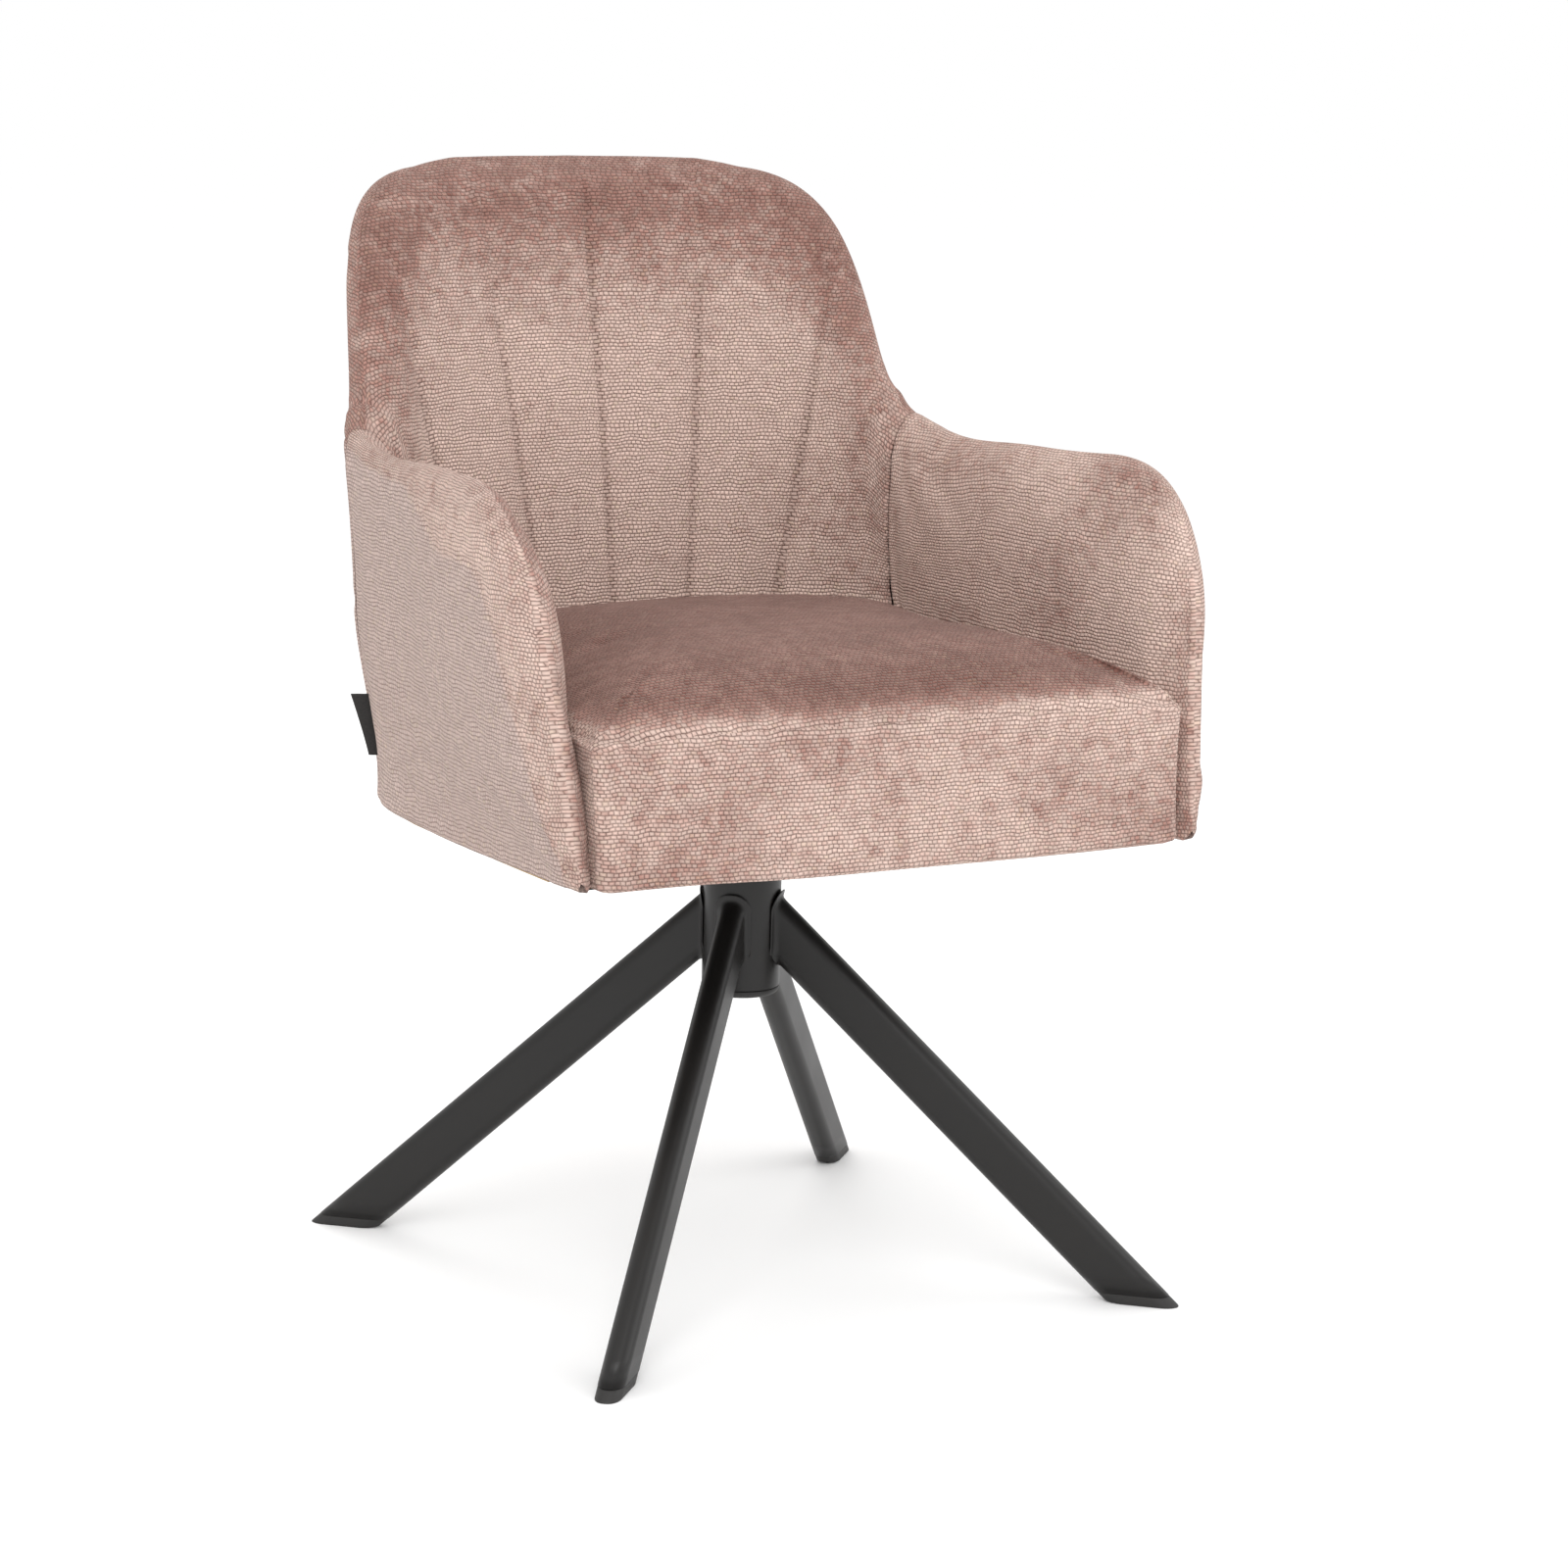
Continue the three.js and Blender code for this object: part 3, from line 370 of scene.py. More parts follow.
def padSurface(kind, inner, s, t, crowd):
    # the pad's face as points; its top dips inwards where the arms leave the back
    u, z = padGrid(kind, inner, s, t, crowd)
    offset = padOffset(inner, u, z)
    grid = inwards(u, z, offset)
    place = np.abs(u)
    dip = ease((place - 0.70) / 0.12) * ease((1.40 - place) / 0.35) * ease((z - 0.50) / 0.12)
    grid[..., 2] -= shell["shoulderDip"] * dip * np.clip(offset / paddingAt(u, z), 0, 1)
    return grid, u, z


def joinedFaces(grids, uvs):
    # the faces of an outer and an inner grid, joined round their four edges
    rows, columns = grids[0].shape[:2]
    count = rows * columns
    outer = np.arange(count).reshape(rows, columns)
    inner = outer + count
    edges = ((outer[:, 0], inner[:, 0]), (inner[:, -1], outer[:, -1]),
             (inner[0], outer[0]), (outer[-1], inner[-1]))
    walls = np.concatenate([stripFaces(a, b) for a, b in edges])
    uv = np.concatenate([each.reshape(-1, 2) for each in uvs])
    return [(gridFaces(rows, columns), uv), (gridFaces(rows, columns, count, True), uv), (walls, uv)]


# the cloth run that blows the covers up
clothSettings = dict(pressure=4.0, lastFrame=20, mass=0.3, stretch=14, shear=8, bend=0.6, quality=6)


def addCloth(piece):
    # cloth held by its pin values, with air pressure and no gravity
    pinned = np.empty(len(piece.data.vertices), np.float32)
    piece.data.attributes["pin"].data.foreach_get("value", pinned)
    group = piece.vertex_groups.new(name="pinned")
    for level in np.unique(np.round(pinned, 1)):
        group.add(np.nonzero(np.round(pinned, 1) == level)[0].tolist(), float(level), "REPLACE")
    cloth = piece.modifiers.new("cloth", "CLOTH")
    settings = cloth.settings
    settings.quality = clothSettings["quality"]
    settings.mass = clothSettings["mass"]
    settings.tension_stiffness = settings.compression_stiffness = clothSettings["stretch"]
    settings.shear_stiffness = clothSettings["shear"]
    settings.bending_stiffness = clothSettings["bend"]
    settings.use_pressure = True
    settings.uniform_pressure_force = clothSettings["pressure"]
    settings.effector_weights.gravity = 0
    settings.vertex_group_mass = "pinned"
    cloth.collision_settings.use_collision = False
    cloth.point_cache.frame_end = clothSettings["lastFrame"]


def simulate(soft):
    # blows the coarse covers up together and gives back how far each of their points moved
    scene = bpy.context.scene
    for piece in soft.values():
        addCloth(piece)
    for step in range(1, clothSettings["lastFrame"] + 1):
        scene.frame_set(step)
    graph = bpy.context.evaluated_depsgraph_get()
    moves = {}
    for key, piece in soft.items():
        shown = piece.evaluated_get(graph)
        moved = shown.to_mesh()
        co = np.empty((2, len(piece.data.vertices) * 3), np.float32)
        piece.data.vertices.foreach_get("co", co[0])
        moved.vertices.foreach_get("co", co[1])
        moves[key] = (co[1] - co[0]).reshape(-1, 3).astype(float)
        shown.to_mesh_clear()
        bpy.data.objects.remove(piece)
    scene.frame_set(1)
    return moves


def cubicWeights(coarse, fine, periodic=False):
    # rows of Catmull-Rom weights that carry values from coarse to fine places on 0 to 1
    spans = coarse if periodic else coarse - 1
    place = np.linspace(0, spans, fine, endpoint=not periodic)
    base = np.minimum(place.astype(int), spans - 1)
    t = place - base
    parts = ((-t + 2 * t ** 2 - t ** 3) / 2, (2 - 5 * t ** 2 + 3 * t ** 3) / 2,
             (t + 4 * t ** 2 - 3 * t ** 3) / 2, (t ** 3 - t ** 2) / 2)
    matrix = np.zeros((fine, coarse))
    for shift, part in zip((-1, 0, 1, 2), parts):
        column = (base + shift) % coarse if periodic else np.clip(base + shift, 0, coarse - 1)
        np.add.at(matrix, (np.arange(fine), column), part)
    return matrix


def capped(move, cap):
    # moves shortened smoothly so that none is longer than the cap
    size = np.linalg.norm(move, axis=-1, keepdims=True)
    return move * cap * np.tanh(size / cap) / np.maximum(size, 1e-9)


def coarsePad(kind):
    # the cage of a pad, pinned along seams and edges
    s, t = (np.linspace(0, 1, n) for n in pads[kind]["coarse"])
    grids, pins = [], []
    for inner in (False, True):
        grid, u, z = padSurface(kind, inner, s, t, pads[kind]["crowd"])
        _, stitched = creaseDepth(kind, inner, u, z, grid)
        pin = np.clip(stitched * 1.2 + 0.04, 0, 1)
        pin[:, 0] = pin[0] = 1
        pin[-1] = 1 if kind == "back" else 0.5
        pin[:, -1] = np.maximum(pin[:, -1], 0.5)
        grids.append(grid)
        pins.append(pin.reshape(-1))
    points = np.concatenate([g.reshape(-1, 3) for g in grids])
    flat = [np.zeros(g.shape[:2] + (2,)) for g in grids]
    piece = makeMesh("coarse_" + kind, points, joinedFaces(grids, flat), dict(pin=np.concatenate(pins)))
    return piece, grids


def movesOnGrid(moves, grids):
    # each grid's share of the moves, found again through the points that were joined
    flat = np.concatenate([g.reshape(-1, 3) for g in grids])
    _, inverse = np.unique(np.round(flat, 6), axis=0, return_inverse=True)
    spread = moves[inverse.reshape(-1)]
    ends = np.cumsum([g.shape[0] * g.shape[1] for g in grids])[:-1]
    return [part.reshape(g.shape) for part, g in zip(np.split(spread, ends), grids)]


cushion = dict(
    piece="seat_cushion_cover", gap=-0.001, seamHeight=0.485, crown=0.049, crownPlace=-0.048, tilt=0.011,
    front=-0.252, lean=0.008, bow=0.009, corner=0.007, hem=0.006, cornerDrop=0.009,
    ring=720, borderRows=44, topRows=130, coarse=(120, 12, 26), cap=0.010, seamDepth=0.0022, seamWidth=0.0028,
    sideEnd=0.70, cornerEnd=0.73, frontEnd=0.97,
)


def cushionOutline(q, z, inset):
    # q runs once round: along the shell's inside, a rounded corner, the bowed front, the other corner
    c = cushion
    lean = c["lean"] * (z - shell["underside"]) / (c["seamHeight"] - shell["underside"])
    front = c["front"] + lean + inset
    r = c["corner"]
    _, endY = planPoint(2.0 + 0 * z, z)
    uEnd = 1 + (shoulderAt(z) - front - r) / (shoulderAt(z) - endY)
    u = uEnd * np.clip(2 * q / c["sideEnd"] - 1, -1, 1)
    side = inwards(u, z, paddingAt(u, z) + c["gap"] + inset)
    end = inwards(uEnd, z, paddingAt(uEnd, z) + c["gap"] + inset)
    halfWidth, sideY = end[..., 0], end[..., 1]
    first = np.clip((q - c["sideEnd"]) / (c["cornerEnd"] - c["sideEnd"]), 0, 1)
    second = np.clip((1 - q) / (1 - c["frontEnd"]), 0, 1)
    along = np.clip((q - c["cornerEnd"]) / (c["frontEnd"] - c["cornerEnd"]), 0, 1)
    turn = np.where(q > c["frontEnd"], second, first) * math.pi / 2
    x = np.where((q > c["cornerEnd"]) & (q < c["frontEnd"]), (halfWidth - r) * (1 - 2 * along),
                 np.where(q > 0.85, -1, 1) * (halfWidth - r * (1 - np.cos(turn))))
    bowed = front - c["bow"] * (1 - (x / halfWidth) ** 2) + axisY
    y = sideY - (sideY - bowed) * np.sin(turn)
    isSide = q <= c["sideEnd"]
    return np.where(isSide, side[..., 0], x), np.where(isSide, side[..., 1], y)


def cushionSurface(q, borderRows, topRows):
    # border rows up to the seam, then rows that draw in to the crown: z = seam + crown * (1 - share^4)^0.6
    c = cushion
    rise = np.linspace(0, 1, borderRows)
    z = shell["underside"] + (c["seamHeight"] - shell["underside"]) * rise
    z = np.broadcast_to(z, (len(q), borderRows))
    hem = np.clip(1 - (z - shell["underside"]) / c["hem"], 0, 1)
    inset = c["hem"] * (1 - np.sqrt(1 - hem ** 2))
    x, y = cushionOutline(np.broadcast_to(q[:, None], z.shape), z, inset)
    border = np.stack([x, y, z], -1)
    share = 1 - np.linspace(0, 1, topRows + 1)[1:] ** 1.6
    middle = c["crownPlace"] + axisY
    topX = x[:, -1:] * share
    topY = middle + (y[:, -1:] - middle) * share
    backY, frontY = y.max(), c["front"] + axisY
    drop = c["tilt"] * np.clip((topY - frontY) / (backY - frontY), 0, 1)
    topZ = c["seamHeight"] + c["crown"] * (1 - share ** 4) ** 0.6 - drop
    bottom = np.broadcast_to([0, middle, shell["underside"]], (len(q), 1, 3))
    grid = np.concatenate([bottom, border, np.stack([topX, topY, topZ], -1)], 1)
    fromCorner = np.hypot(np.abs(grid[..., 0]) - np.abs(x[:, -1]).max() * 0.97, grid[..., 1] - frontY)
    share = np.clip((grid[..., 2] - shell["underside"]) / (c["seamHeight"] - shell["underside"]), 0, 1)
    grid[..., 2] -= c["cornerDrop"] * np.exp(-(fromCorner / 0.045) ** 2) * share ** 2
    return grid


def cushionFaces(grid):
    # faces of a grid whose columns close into a ring
    closed = np.arange(grid.shape[0] * grid.shape[1]).reshape(grid.shape[:2])
    ring = np.concatenate([closed, closed[:1]])
    return np.stack([ring[:-1, :-1], ring[1:, :-1], ring[1:, 1:], ring[:-1, 1:]], -1)


def coarseCushion():
    # the cage of the cushion, pinned along its seam and underside
    ringCount, borderRows, topRows = cushion["coarse"]
    grid = cushionSurface(np.arange(ringCount) / ringCount, borderRows, topRows)
    pin = np.full(grid.shape[:2], 0.03)
    pin[:, : borderRows + 1] = 0.6
    pin[:, borderRows] = pin[:, 0] = pin[:, 1] = 1
    uv = np.zeros((pin.size, 2))
    faces = cushionFaces(grid).reshape(-1, 4)
    piece = makeMesh("coarse_cushion", grid.reshape(-1, 3), [(faces, uv)], dict(pin=pin.reshape(-1)))
    return piece, [grid]


swelling = {}
coarse = {kind: coarsePad(kind) for kind in pads}
coarse["cushion"] = coarseCushion()
moves = simulate({kind: piece for kind, (piece, _) in coarse.items()})
for kind, (_, grids) in coarse.items():
    swelling[kind] = movesOnGrid(moves[kind], grids)
    print("cloth", kind, "moved at most", round(1000 * float(np.abs(moves[kind]).max()), 1), "mm")


def finePad(kind):
    # the pad's two faces, moved as the cage moved, then creased along the seams and rippled along the normal
    p = pads[kind]
    s, t = np.linspace(0, 1, p["columns"]), np.linspace(0, 1, p["rows"])
    grids, uvs, seam, nap, sheer = [], [], [], [], []
    for inner in (False, True):
        grid, u, z = padSurface(kind, inner, s, t, p["crowd"])
        depth, stitched = creaseDepth(kind, inner, u, z, grid)
        if kind in swelling:
            across, up = (cubicWeights(c, f) for c, f in zip(p["coarse"], (p["columns"], p["rows"])))
            move = np.einsum("ac,cdk,bd->abk", across, swelling[kind][int(inner)], up)
            grid = grid + capped(move, p["cap"])
            depth = depth + creases["swell"] * (0.2 if inner else 0.7)
        outward = normalsOf(grid) * (-1 if inner else 1) * outwardSign(kind)
        edge = np.clip(rimDistance(u, z) / 0.02, 0, 1)
        ripple = creases["ripple"] * smoothNoise(grid, creases["rippleSize"], p["seed"]) * edge
        grid = grid - outward * (depth * (0.15 + 0.85 * edge) - ripple)[..., None]
        grids.append(grid)
        uvs.append(clothUv(u, z, inner))
        # seam: nearness to the stitched lines, used later as painted shade in the seam creases
        seam.append(stitched)
        # nap: how brushed the pile looks, with painted shade on the back's rim, flanks and top
        nap.append(napAndShadeAmount(kind, inner, u, z, grid))
        sheer.append(0 * u if inner else sheerAmount(kind, u, z))
    rim = (grids[0][:, -1] + grids[1][:, -1]) / 2
    grids[0][:, -1] = grids[1][:, -1] = rim
    if kind != "back":
        nose = (grids[0][-1] + grids[1][-1]) / 2
        grids[0][-1] = grids[1][-1] = nose
    points = np.concatenate([g.reshape(-1, 3) for g in grids])
    values = {key: np.concatenate([v.reshape(-1) for v in parts])
              for key, parts in (("seam", seam), ("nap", nap), ("sheer", sheer))}
    return makeMesh(p["piece"], points, joinedFaces(grids, uvs), values)


def outwardSign(kind):
    # across and then up, the grid's own normal points out of the shell on the right arm alone
    return 1 if kind == "right" else -1


# how brushed the pile looks, with painted shade in it: 0 smooth and pale, 1 brushed, over 1 darker still with
# painted shade
napAndShadeSettings = dict(
    rimStart=0.012, rimWidth=0.055, rim=0.72, flankFrom=0.42, flankOver=0.25, flank=0.30,
    topFrom=0.66, topOver=0.16, top=0.55, most=1.15, outerBack=(0.15, 0.80), outerMost=1.1,
    armStart=0.008, armWidth=0.022, armInner=(0.18, 0.35), armPatch=0.28, armOuter=(0.02, 0.35),
)


def sheerAmount(kind, u, z):
    # up to 0.9 where the cover is pulled flat over the outer panels and looks greyer and finer
    return ease((rimDistance(u, z) - weltDistance(u, z)) / 0.006) * 0.9


def napAndShadeAmount(kind, inner, u, z, grid):
    # a bell across the rim, eased patches on the back's flanks and top, and random patches inside the arms;
    # these mix brushed pile with painted shade, and the top patch is painted shade
    n = napAndShadeSettings
    rim = rimDistance(u, z)
    if kind == "back":
        band = np.exp(-(np.clip(rim - n["rimStart"], 0, None) / n["rimWidth"]) ** 2)
        flank = ease((np.abs(u) - n["flankFrom"]) / n["flankOver"]) * n["flank"]
        top = ease((z - n["topFrom"]) / n["topOver"]) * n["top"]
        if inner:
            return np.clip(np.maximum(band * n["rim"], flank) + top, 0, n["most"])
        base, share = n["outerBack"]
        return np.clip(base + band * share, 0, n["outerMost"])
    band = np.exp(-(np.clip(rim - n["armStart"], 0, None) / n["armWidth"]) ** 2)
    base, share = n["armInner" if inner else "armOuter"]
    patch = n["armPatch"] * smoothNoise(grid, 0.09, 21) if inner else 0
    return np.clip(base + share * band + patch, 0, 1)


# the cushion's share of the cloth run, its gathers beside the seam, its waves, and how brushed its top looks;
# the top is also darkened with painted shade
cushionDetail = dict(
    share=0.8, settle=0.004, settleOver=0.03, edgeRows=30, softWidth=0.012,
    stitch=0.0026, pucker=0.0002, puckerLength=0.013, ripple=0.0009, rippleSize=0.10,
    uvShift=0.4, napStart=0.002, napOver=0.022, napBorder=0.50, napTop=1.20, napSeam=0.25, napSeamWidth=0.006,
)


def fineCushion():
    # border and top in one grid, moved as the cage moved, creased at the seam and rippled along the normal
    c, d = cushion, cushionDetail
    q = np.arange(c["ring"]) / c["ring"]
    grid = cushionSurface(q, c["borderRows"], c["topRows"])
    if "cushion" in swelling:
        ringCount, borderRows, topRows = c["coarse"]
        around = cubicWeights(ringCount, c["ring"], True)
        move = np.einsum("ac,cdk->adk", around, swelling["cushion"][0])
        border = move[:, 1:borderRows + 1]
        border = np.einsum("adk,bd->abk", border, cubicWeights(borderRows, c["borderRows"]))
        top = np.einsum("adk,bd->abk", move[:, borderRows:], cubicWeights(topRows + 1, c["topRows"] + 1))
        move = np.concatenate([move[:, :1], border, top[:, 1:]], 1)
        grid = grid + capped(move, c["cap"]) * d["share"]
        grid[..., 2] -= d["settle"] * ease((grid[..., 2] - c["seamHeight"]) / d["settleOver"])
    wrapped = np.concatenate([grid[-1:], grid, grid[:1]])
    outward = -normalsOf(wrapped)[1:-1]
    outward[:, -1] = outward[:, -2].mean(0)
    outward[:, 0] = (0, 0, -1)
    rows = np.arange(grid.shape[1])
    height = grid[..., 2]
    fromSeam = np.abs(height - c["seamHeight"])
    onEdge = (rows < c["borderRows"] + d["edgeRows"])[None, :] * np.ones(height.shape)
    line = np.exp(-(fromSeam / c["seamWidth"]) ** 2) * onEdge
    gathered = np.exp(-(fromSeam / d["softWidth"]) ** 2) * onEdge * (rows > c["borderRows"])
    length = np.arange(len(q))[:, None] * d["stitch"]
    wander = 6 * smoothNoise(grid, 0.06, 50)
    pucker = d["pucker"] * np.sin(2 * math.pi * length / d["puckerLength"] + wander)
    depth = c["seamDepth"] * line + pucker * gathered
    ripple = d["ripple"] * smoothNoise(grid, d["rippleSize"], 61) * (1 - line)
    ripple[:, -1], ripple[:, 0] = ripple[0, -1], ripple[0, 0]
    grid = grid - outward * (depth - ripple)[..., None]
    grid[:, -1] = grid[:, -1].mean(0)
    grid[:, 0] = grid[:, 0].mean(0)
    faces = cushionFaces(grid)
    edge = grid[:, c["borderRows"]]
    around = np.concatenate([[0], np.cumsum(np.linalg.norm(np.diff(edge[:, :2], axis=0), axis=1))])
    borderUv = np.stack([np.broadcast_to(around[:, None], height.shape), height], -1).reshape(-1, 2)
    steps = np.linalg.norm(np.diff(grid, axis=1), axis=-1)
    radial = np.concatenate([np.zeros((len(q), 1)), np.cumsum(steps, axis=1)], 1)
    arc = radial[:, -1:] - radial
    flat = grid[..., :2] - grid[:, -1:, :2]
    stretch = arc / np.maximum(np.linalg.norm(flat, axis=-1), 1e-6)
    topUv = (flat * stretch[..., None] + d["uvShift"]).reshape(-1, 2)
    split = c["borderRows"]
    below, above = faces[:, :split].reshape(-1, 4), faces[:, split:].reshape(-1, 4)
    # painted shade on the seat's top: nap rises from the seam upwards and turns the top darker
    onTop = ease((height - c["seamHeight"] - d["napStart"]) / d["napOver"]) * (rows > split)
    nap = d["napBorder"] + 0.15 * smoothNoise(grid, 0.08, 70)
    nap = nap + (d["napTop"] + 0.12 * smoothNoise(grid, 0.05, 71)) * onTop
    nap = nap - d["napSeam"] * np.exp(-(fromSeam / d["napSeamWidth"]) ** 2)
    # the seam values darken the colour along the seam: painted shade in its crease
    values = dict(seam=0.5 * line.reshape(-1), nap=nap.reshape(-1))
    return makeMesh(c["piece"], grid.reshape(-1, 3), [(below, borderUv), (above, topUv)], values)


soft = {}
for kind in pads:
    soft[kind] = finePad(kind)
    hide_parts(pads[kind]["node"])
soft["cushion"] = fineCushion()
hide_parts("seat_cushion")
for piece in soft.values():
    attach(piece, "seat")
print("upholstery made:", {k: len(o.data.polygons) for k, o in soft.items()})

# hub, legs and glides
base = dict(
    hubRadius=0.031, hubWall=0.003, sides=128,
    legBreadth=0.021, legDepth=0.040, legEdge=0.0095, footMiddle=0.3335, joinHeight=0.281,
    weld=0.0055, ring=72, rows=40, glide=0.008, glideRounding=0.0012, parting=0.0003, capRounding=0.005,
)


def turned(name, profile, sides=base["sides"]):
    # a closed profile of radius and height carried once round the swivel axis
    profile = np.array(profile + profile[:1], float)
    turn = np.linspace(0, 2 * math.pi, sides + 1)
    radius, height = profile[:, 0], profile[:, 1]
    points = np.stack([np.outer(np.cos(turn), radius), np.outer(np.sin(turn), radius) + axisY,
                       np.broadcast_to(height, (sides + 1, len(profile)))], -1)
    uv = np.zeros((points.shape[0] * points.shape[1], 2))
    return makeMesh(name, points.reshape(-1, 3), [(gridFaces(sides + 1, len(profile)), uv)])


def arc(radius, height, size, start, end, steps=8):
    # a rounded corner of the profile about a centre, from one angle to another in degrees
    turn = np.radians(np.linspace(start, end, steps + 1))
    return [(radius + size * math.cos(a), height + size * math.sin(a)) for a in turn]


def sectionPoint(turn):
    # the flat oval: a rectangle with quarter-round corners, by the angle that its normal makes
    corner = base["legEdge"]
    x = (base["legBreadth"] / 2 - corner) * np.sign(np.round(np.cos(turn), 9)) + corner * np.cos(turn)
    y = (base["legDepth"] / 2 - corner) * np.sign(np.round(np.sin(turn), 9)) + corner * np.sin(turn)
    return x, y


def sectionRing():
    # angles once round, with the flats given points of their own
    quarter = np.linspace(0, math.pi / 2, base["ring"] // 4)
    turns = np.concatenate([quarter + k * math.pi / 2 for k in range(4)])
    nudge = 1e-6 * np.tile(np.concatenate([[1], np.zeros(len(quarter) - 2), [-1]]), 4)
    x, y = sectionPoint(turns + nudge)
    return np.append(x, x[0]), np.append(y, y[0]), np.append(turns, turns[0])


def legFrame(angle):
    # out from the axis, sideways, and the leg's own direction and depth
    out = np.array([math.cos(angle), math.sin(angle), 0])
    sideways = np.array([-math.sin(angle), math.cos(angle), 0])
    foot = out * base["footMiddle"]
    top = np.array([0, 0, base["joinHeight"] * (1 + base["hubRadius"] / base["footMiddle"])])
    direction = (foot - top) / np.linalg.norm(foot - top)
    depthwise = np.cross(sideways, direction)
    return top, direction, sideways, depthwise * np.sign(depthwise[2])


def legSurface(angle, stations, grow):
    # lines of the section along the leg; stations gives each line's distances from the leg's top
    top, direction, sideways, depthwise = legFrame(angle)
    x, y, turns = sectionRing()
    outline = np.outer(x, sideways) + np.outer(y, depthwise)
    normal = np.outer(np.cos(turns), sideways) + np.outer(np.sin(turns), depthwise)
    points = top + outline[:, None] + direction * stations[..., None] + normal[:, None] * grow[..., None]
    points[..., 1] += axisY
    return points


def lineEnds(angle, height):
    # where each line of the section meets the hub, and where it meets a level plane
    top, direction, sideways, depthwise = legFrame(angle)
    x, y, _ = sectionRing()
    start = top + np.outer(x, sideways) + np.outer(y, depthwise)
    a = direction[0] ** 2 + direction[1] ** 2
    b = start[:, 0] * direction[0] + start[:, 1] * direction[1]
    c = start[:, 0] ** 2 + start[:, 1] ** 2 - (base["hubRadius"] - 0.001) ** 2
    return (-b + np.sqrt(b * b - a * c)) / a, (height - start[:, 2]) / direction[2]


def closedEnds(grid):
    # a grid whose rows of lines are closed at both ends by their middle points
    low, high = grid[:, :1].mean(0, keepdims=True), grid[:, -1:].mean(0, keepdims=True)
    count = grid.shape[0]
    return np.concatenate([np.repeat(low, count, 0), grid, np.repeat(high, count, 0)], 1)


def makeLeg(name, angle):
    # the section carried from the hub to the parting line, flared at the hub like a weld's fillet
    near, far = lineEnds(angle, base["glide"] + base["parting"])
    share = np.linspace(0, 1, base["rows"]) ** 2.2
    stations = near[:, None] + (far - near)[:, None] * share
    fromHub = np.clip(1 - (stations - near[:, None] - 0.001) / base["weld"], 0, 1)
    grow = base["weld"] * (1 - np.sqrt(1 - fromHub ** 2)) * 0.9
    grid = closedEnds(legSurface(angle, stations, grow))
    uv = np.zeros((grid.shape[0] * grid.shape[1], 2))
    return makeMesh(name, grid.reshape(-1, 3), [(gridFaces(*grid.shape[:2]), uv)])


def makeGlide(name, angle):
    # the section from the parting line down, drawn in round its lower edge
    _, upper = lineEnds(angle, base["glide"])
    _, lower = lineEnds(angle, 0.0)
    levels = np.array([0, 0.1, 0.5, 0.85, 0.9, 0.94, 0.97, 0.99, 1.0])
    stations = upper[:, None] + (lower - upper)[:, None] * levels
    above = (1 - levels) * base["glide"]
    corner = np.clip(1 - above / base["glideRounding"], 0, 1)
    inset = base["glideRounding"] * (1 - np.sqrt(1 - corner ** 2)) + 0.0003
    grid = legSurface(angle, stations, -np.broadcast_to(inset, stations.shape))
    grid[..., 2] = np.clip(grid[..., 2], 0, None)
    grid = closedEnds(grid)
    uv = np.zeros((grid.shape[0] * grid.shape[1], 2))
    return makeMesh(name, grid.reshape(-1, 3), [(gridFaces(*grid.shape[:2]), uv)])


steelPieces, plasticPieces = [], []
mountAngle = {m["name"].replace("floor_rest_", ""): math.atan2(m["pos_m"][1] - axisY, m["pos_m"][0])
              for m in frame["record"]["mounts"]}
for corner, angle in mountAngle.items():
    leg = makeLeg("steel_leg_" + corner, angle)
    glide = makeGlide("foot_glide_" + corner, angle)
    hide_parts("leg_" + corner)
    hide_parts("glide_" + corner)
    steelPieces.append(leg)
    plasticPieces.append(glide)

hubLow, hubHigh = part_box("hub_tube")[0].z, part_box("hub_tube")[1].z
bore = base["hubRadius"] - base["hubWall"]
hub = turned("hub_shell", [(bore, hubLow), (base["hubRadius"] - 0.0006, hubLow)]
             + arc(base["hubRadius"] - 0.0006, hubLow + 0.0006, 0.0006, -90, 0, 4)
             + arc(base["hubRadius"] - 0.0010, hubHigh - 0.0010, 0.0010, 0, 90, 5) + [(bore, hubHigh)])
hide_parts("hub_tube")
steelPieces.append(hub)
capLow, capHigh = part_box("hub_end_cap")[0].z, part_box("hub_tube")[0].z - 0.0003
r = base["capRounding"]
cap = turned("hub_cap_moulding", [(0, capLow)] + arc(base["hubRadius"] - r, capLow + r, r, -90, 0, 12)
             + [(base["hubRadius"], capHigh), (bore - 0.0003, capHigh), (0, capHigh)])
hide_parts("hub_end_cap")
plasticPieces.append(cap)
for piece in steelPieces + plasticPieces:
    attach(piece, "base")

# cloth under the seat, stretched between its staples
cover = dict(inset=0.022, thickness=0.0008, sag=0.0009, rings=60, around=480, folds=0.0004)


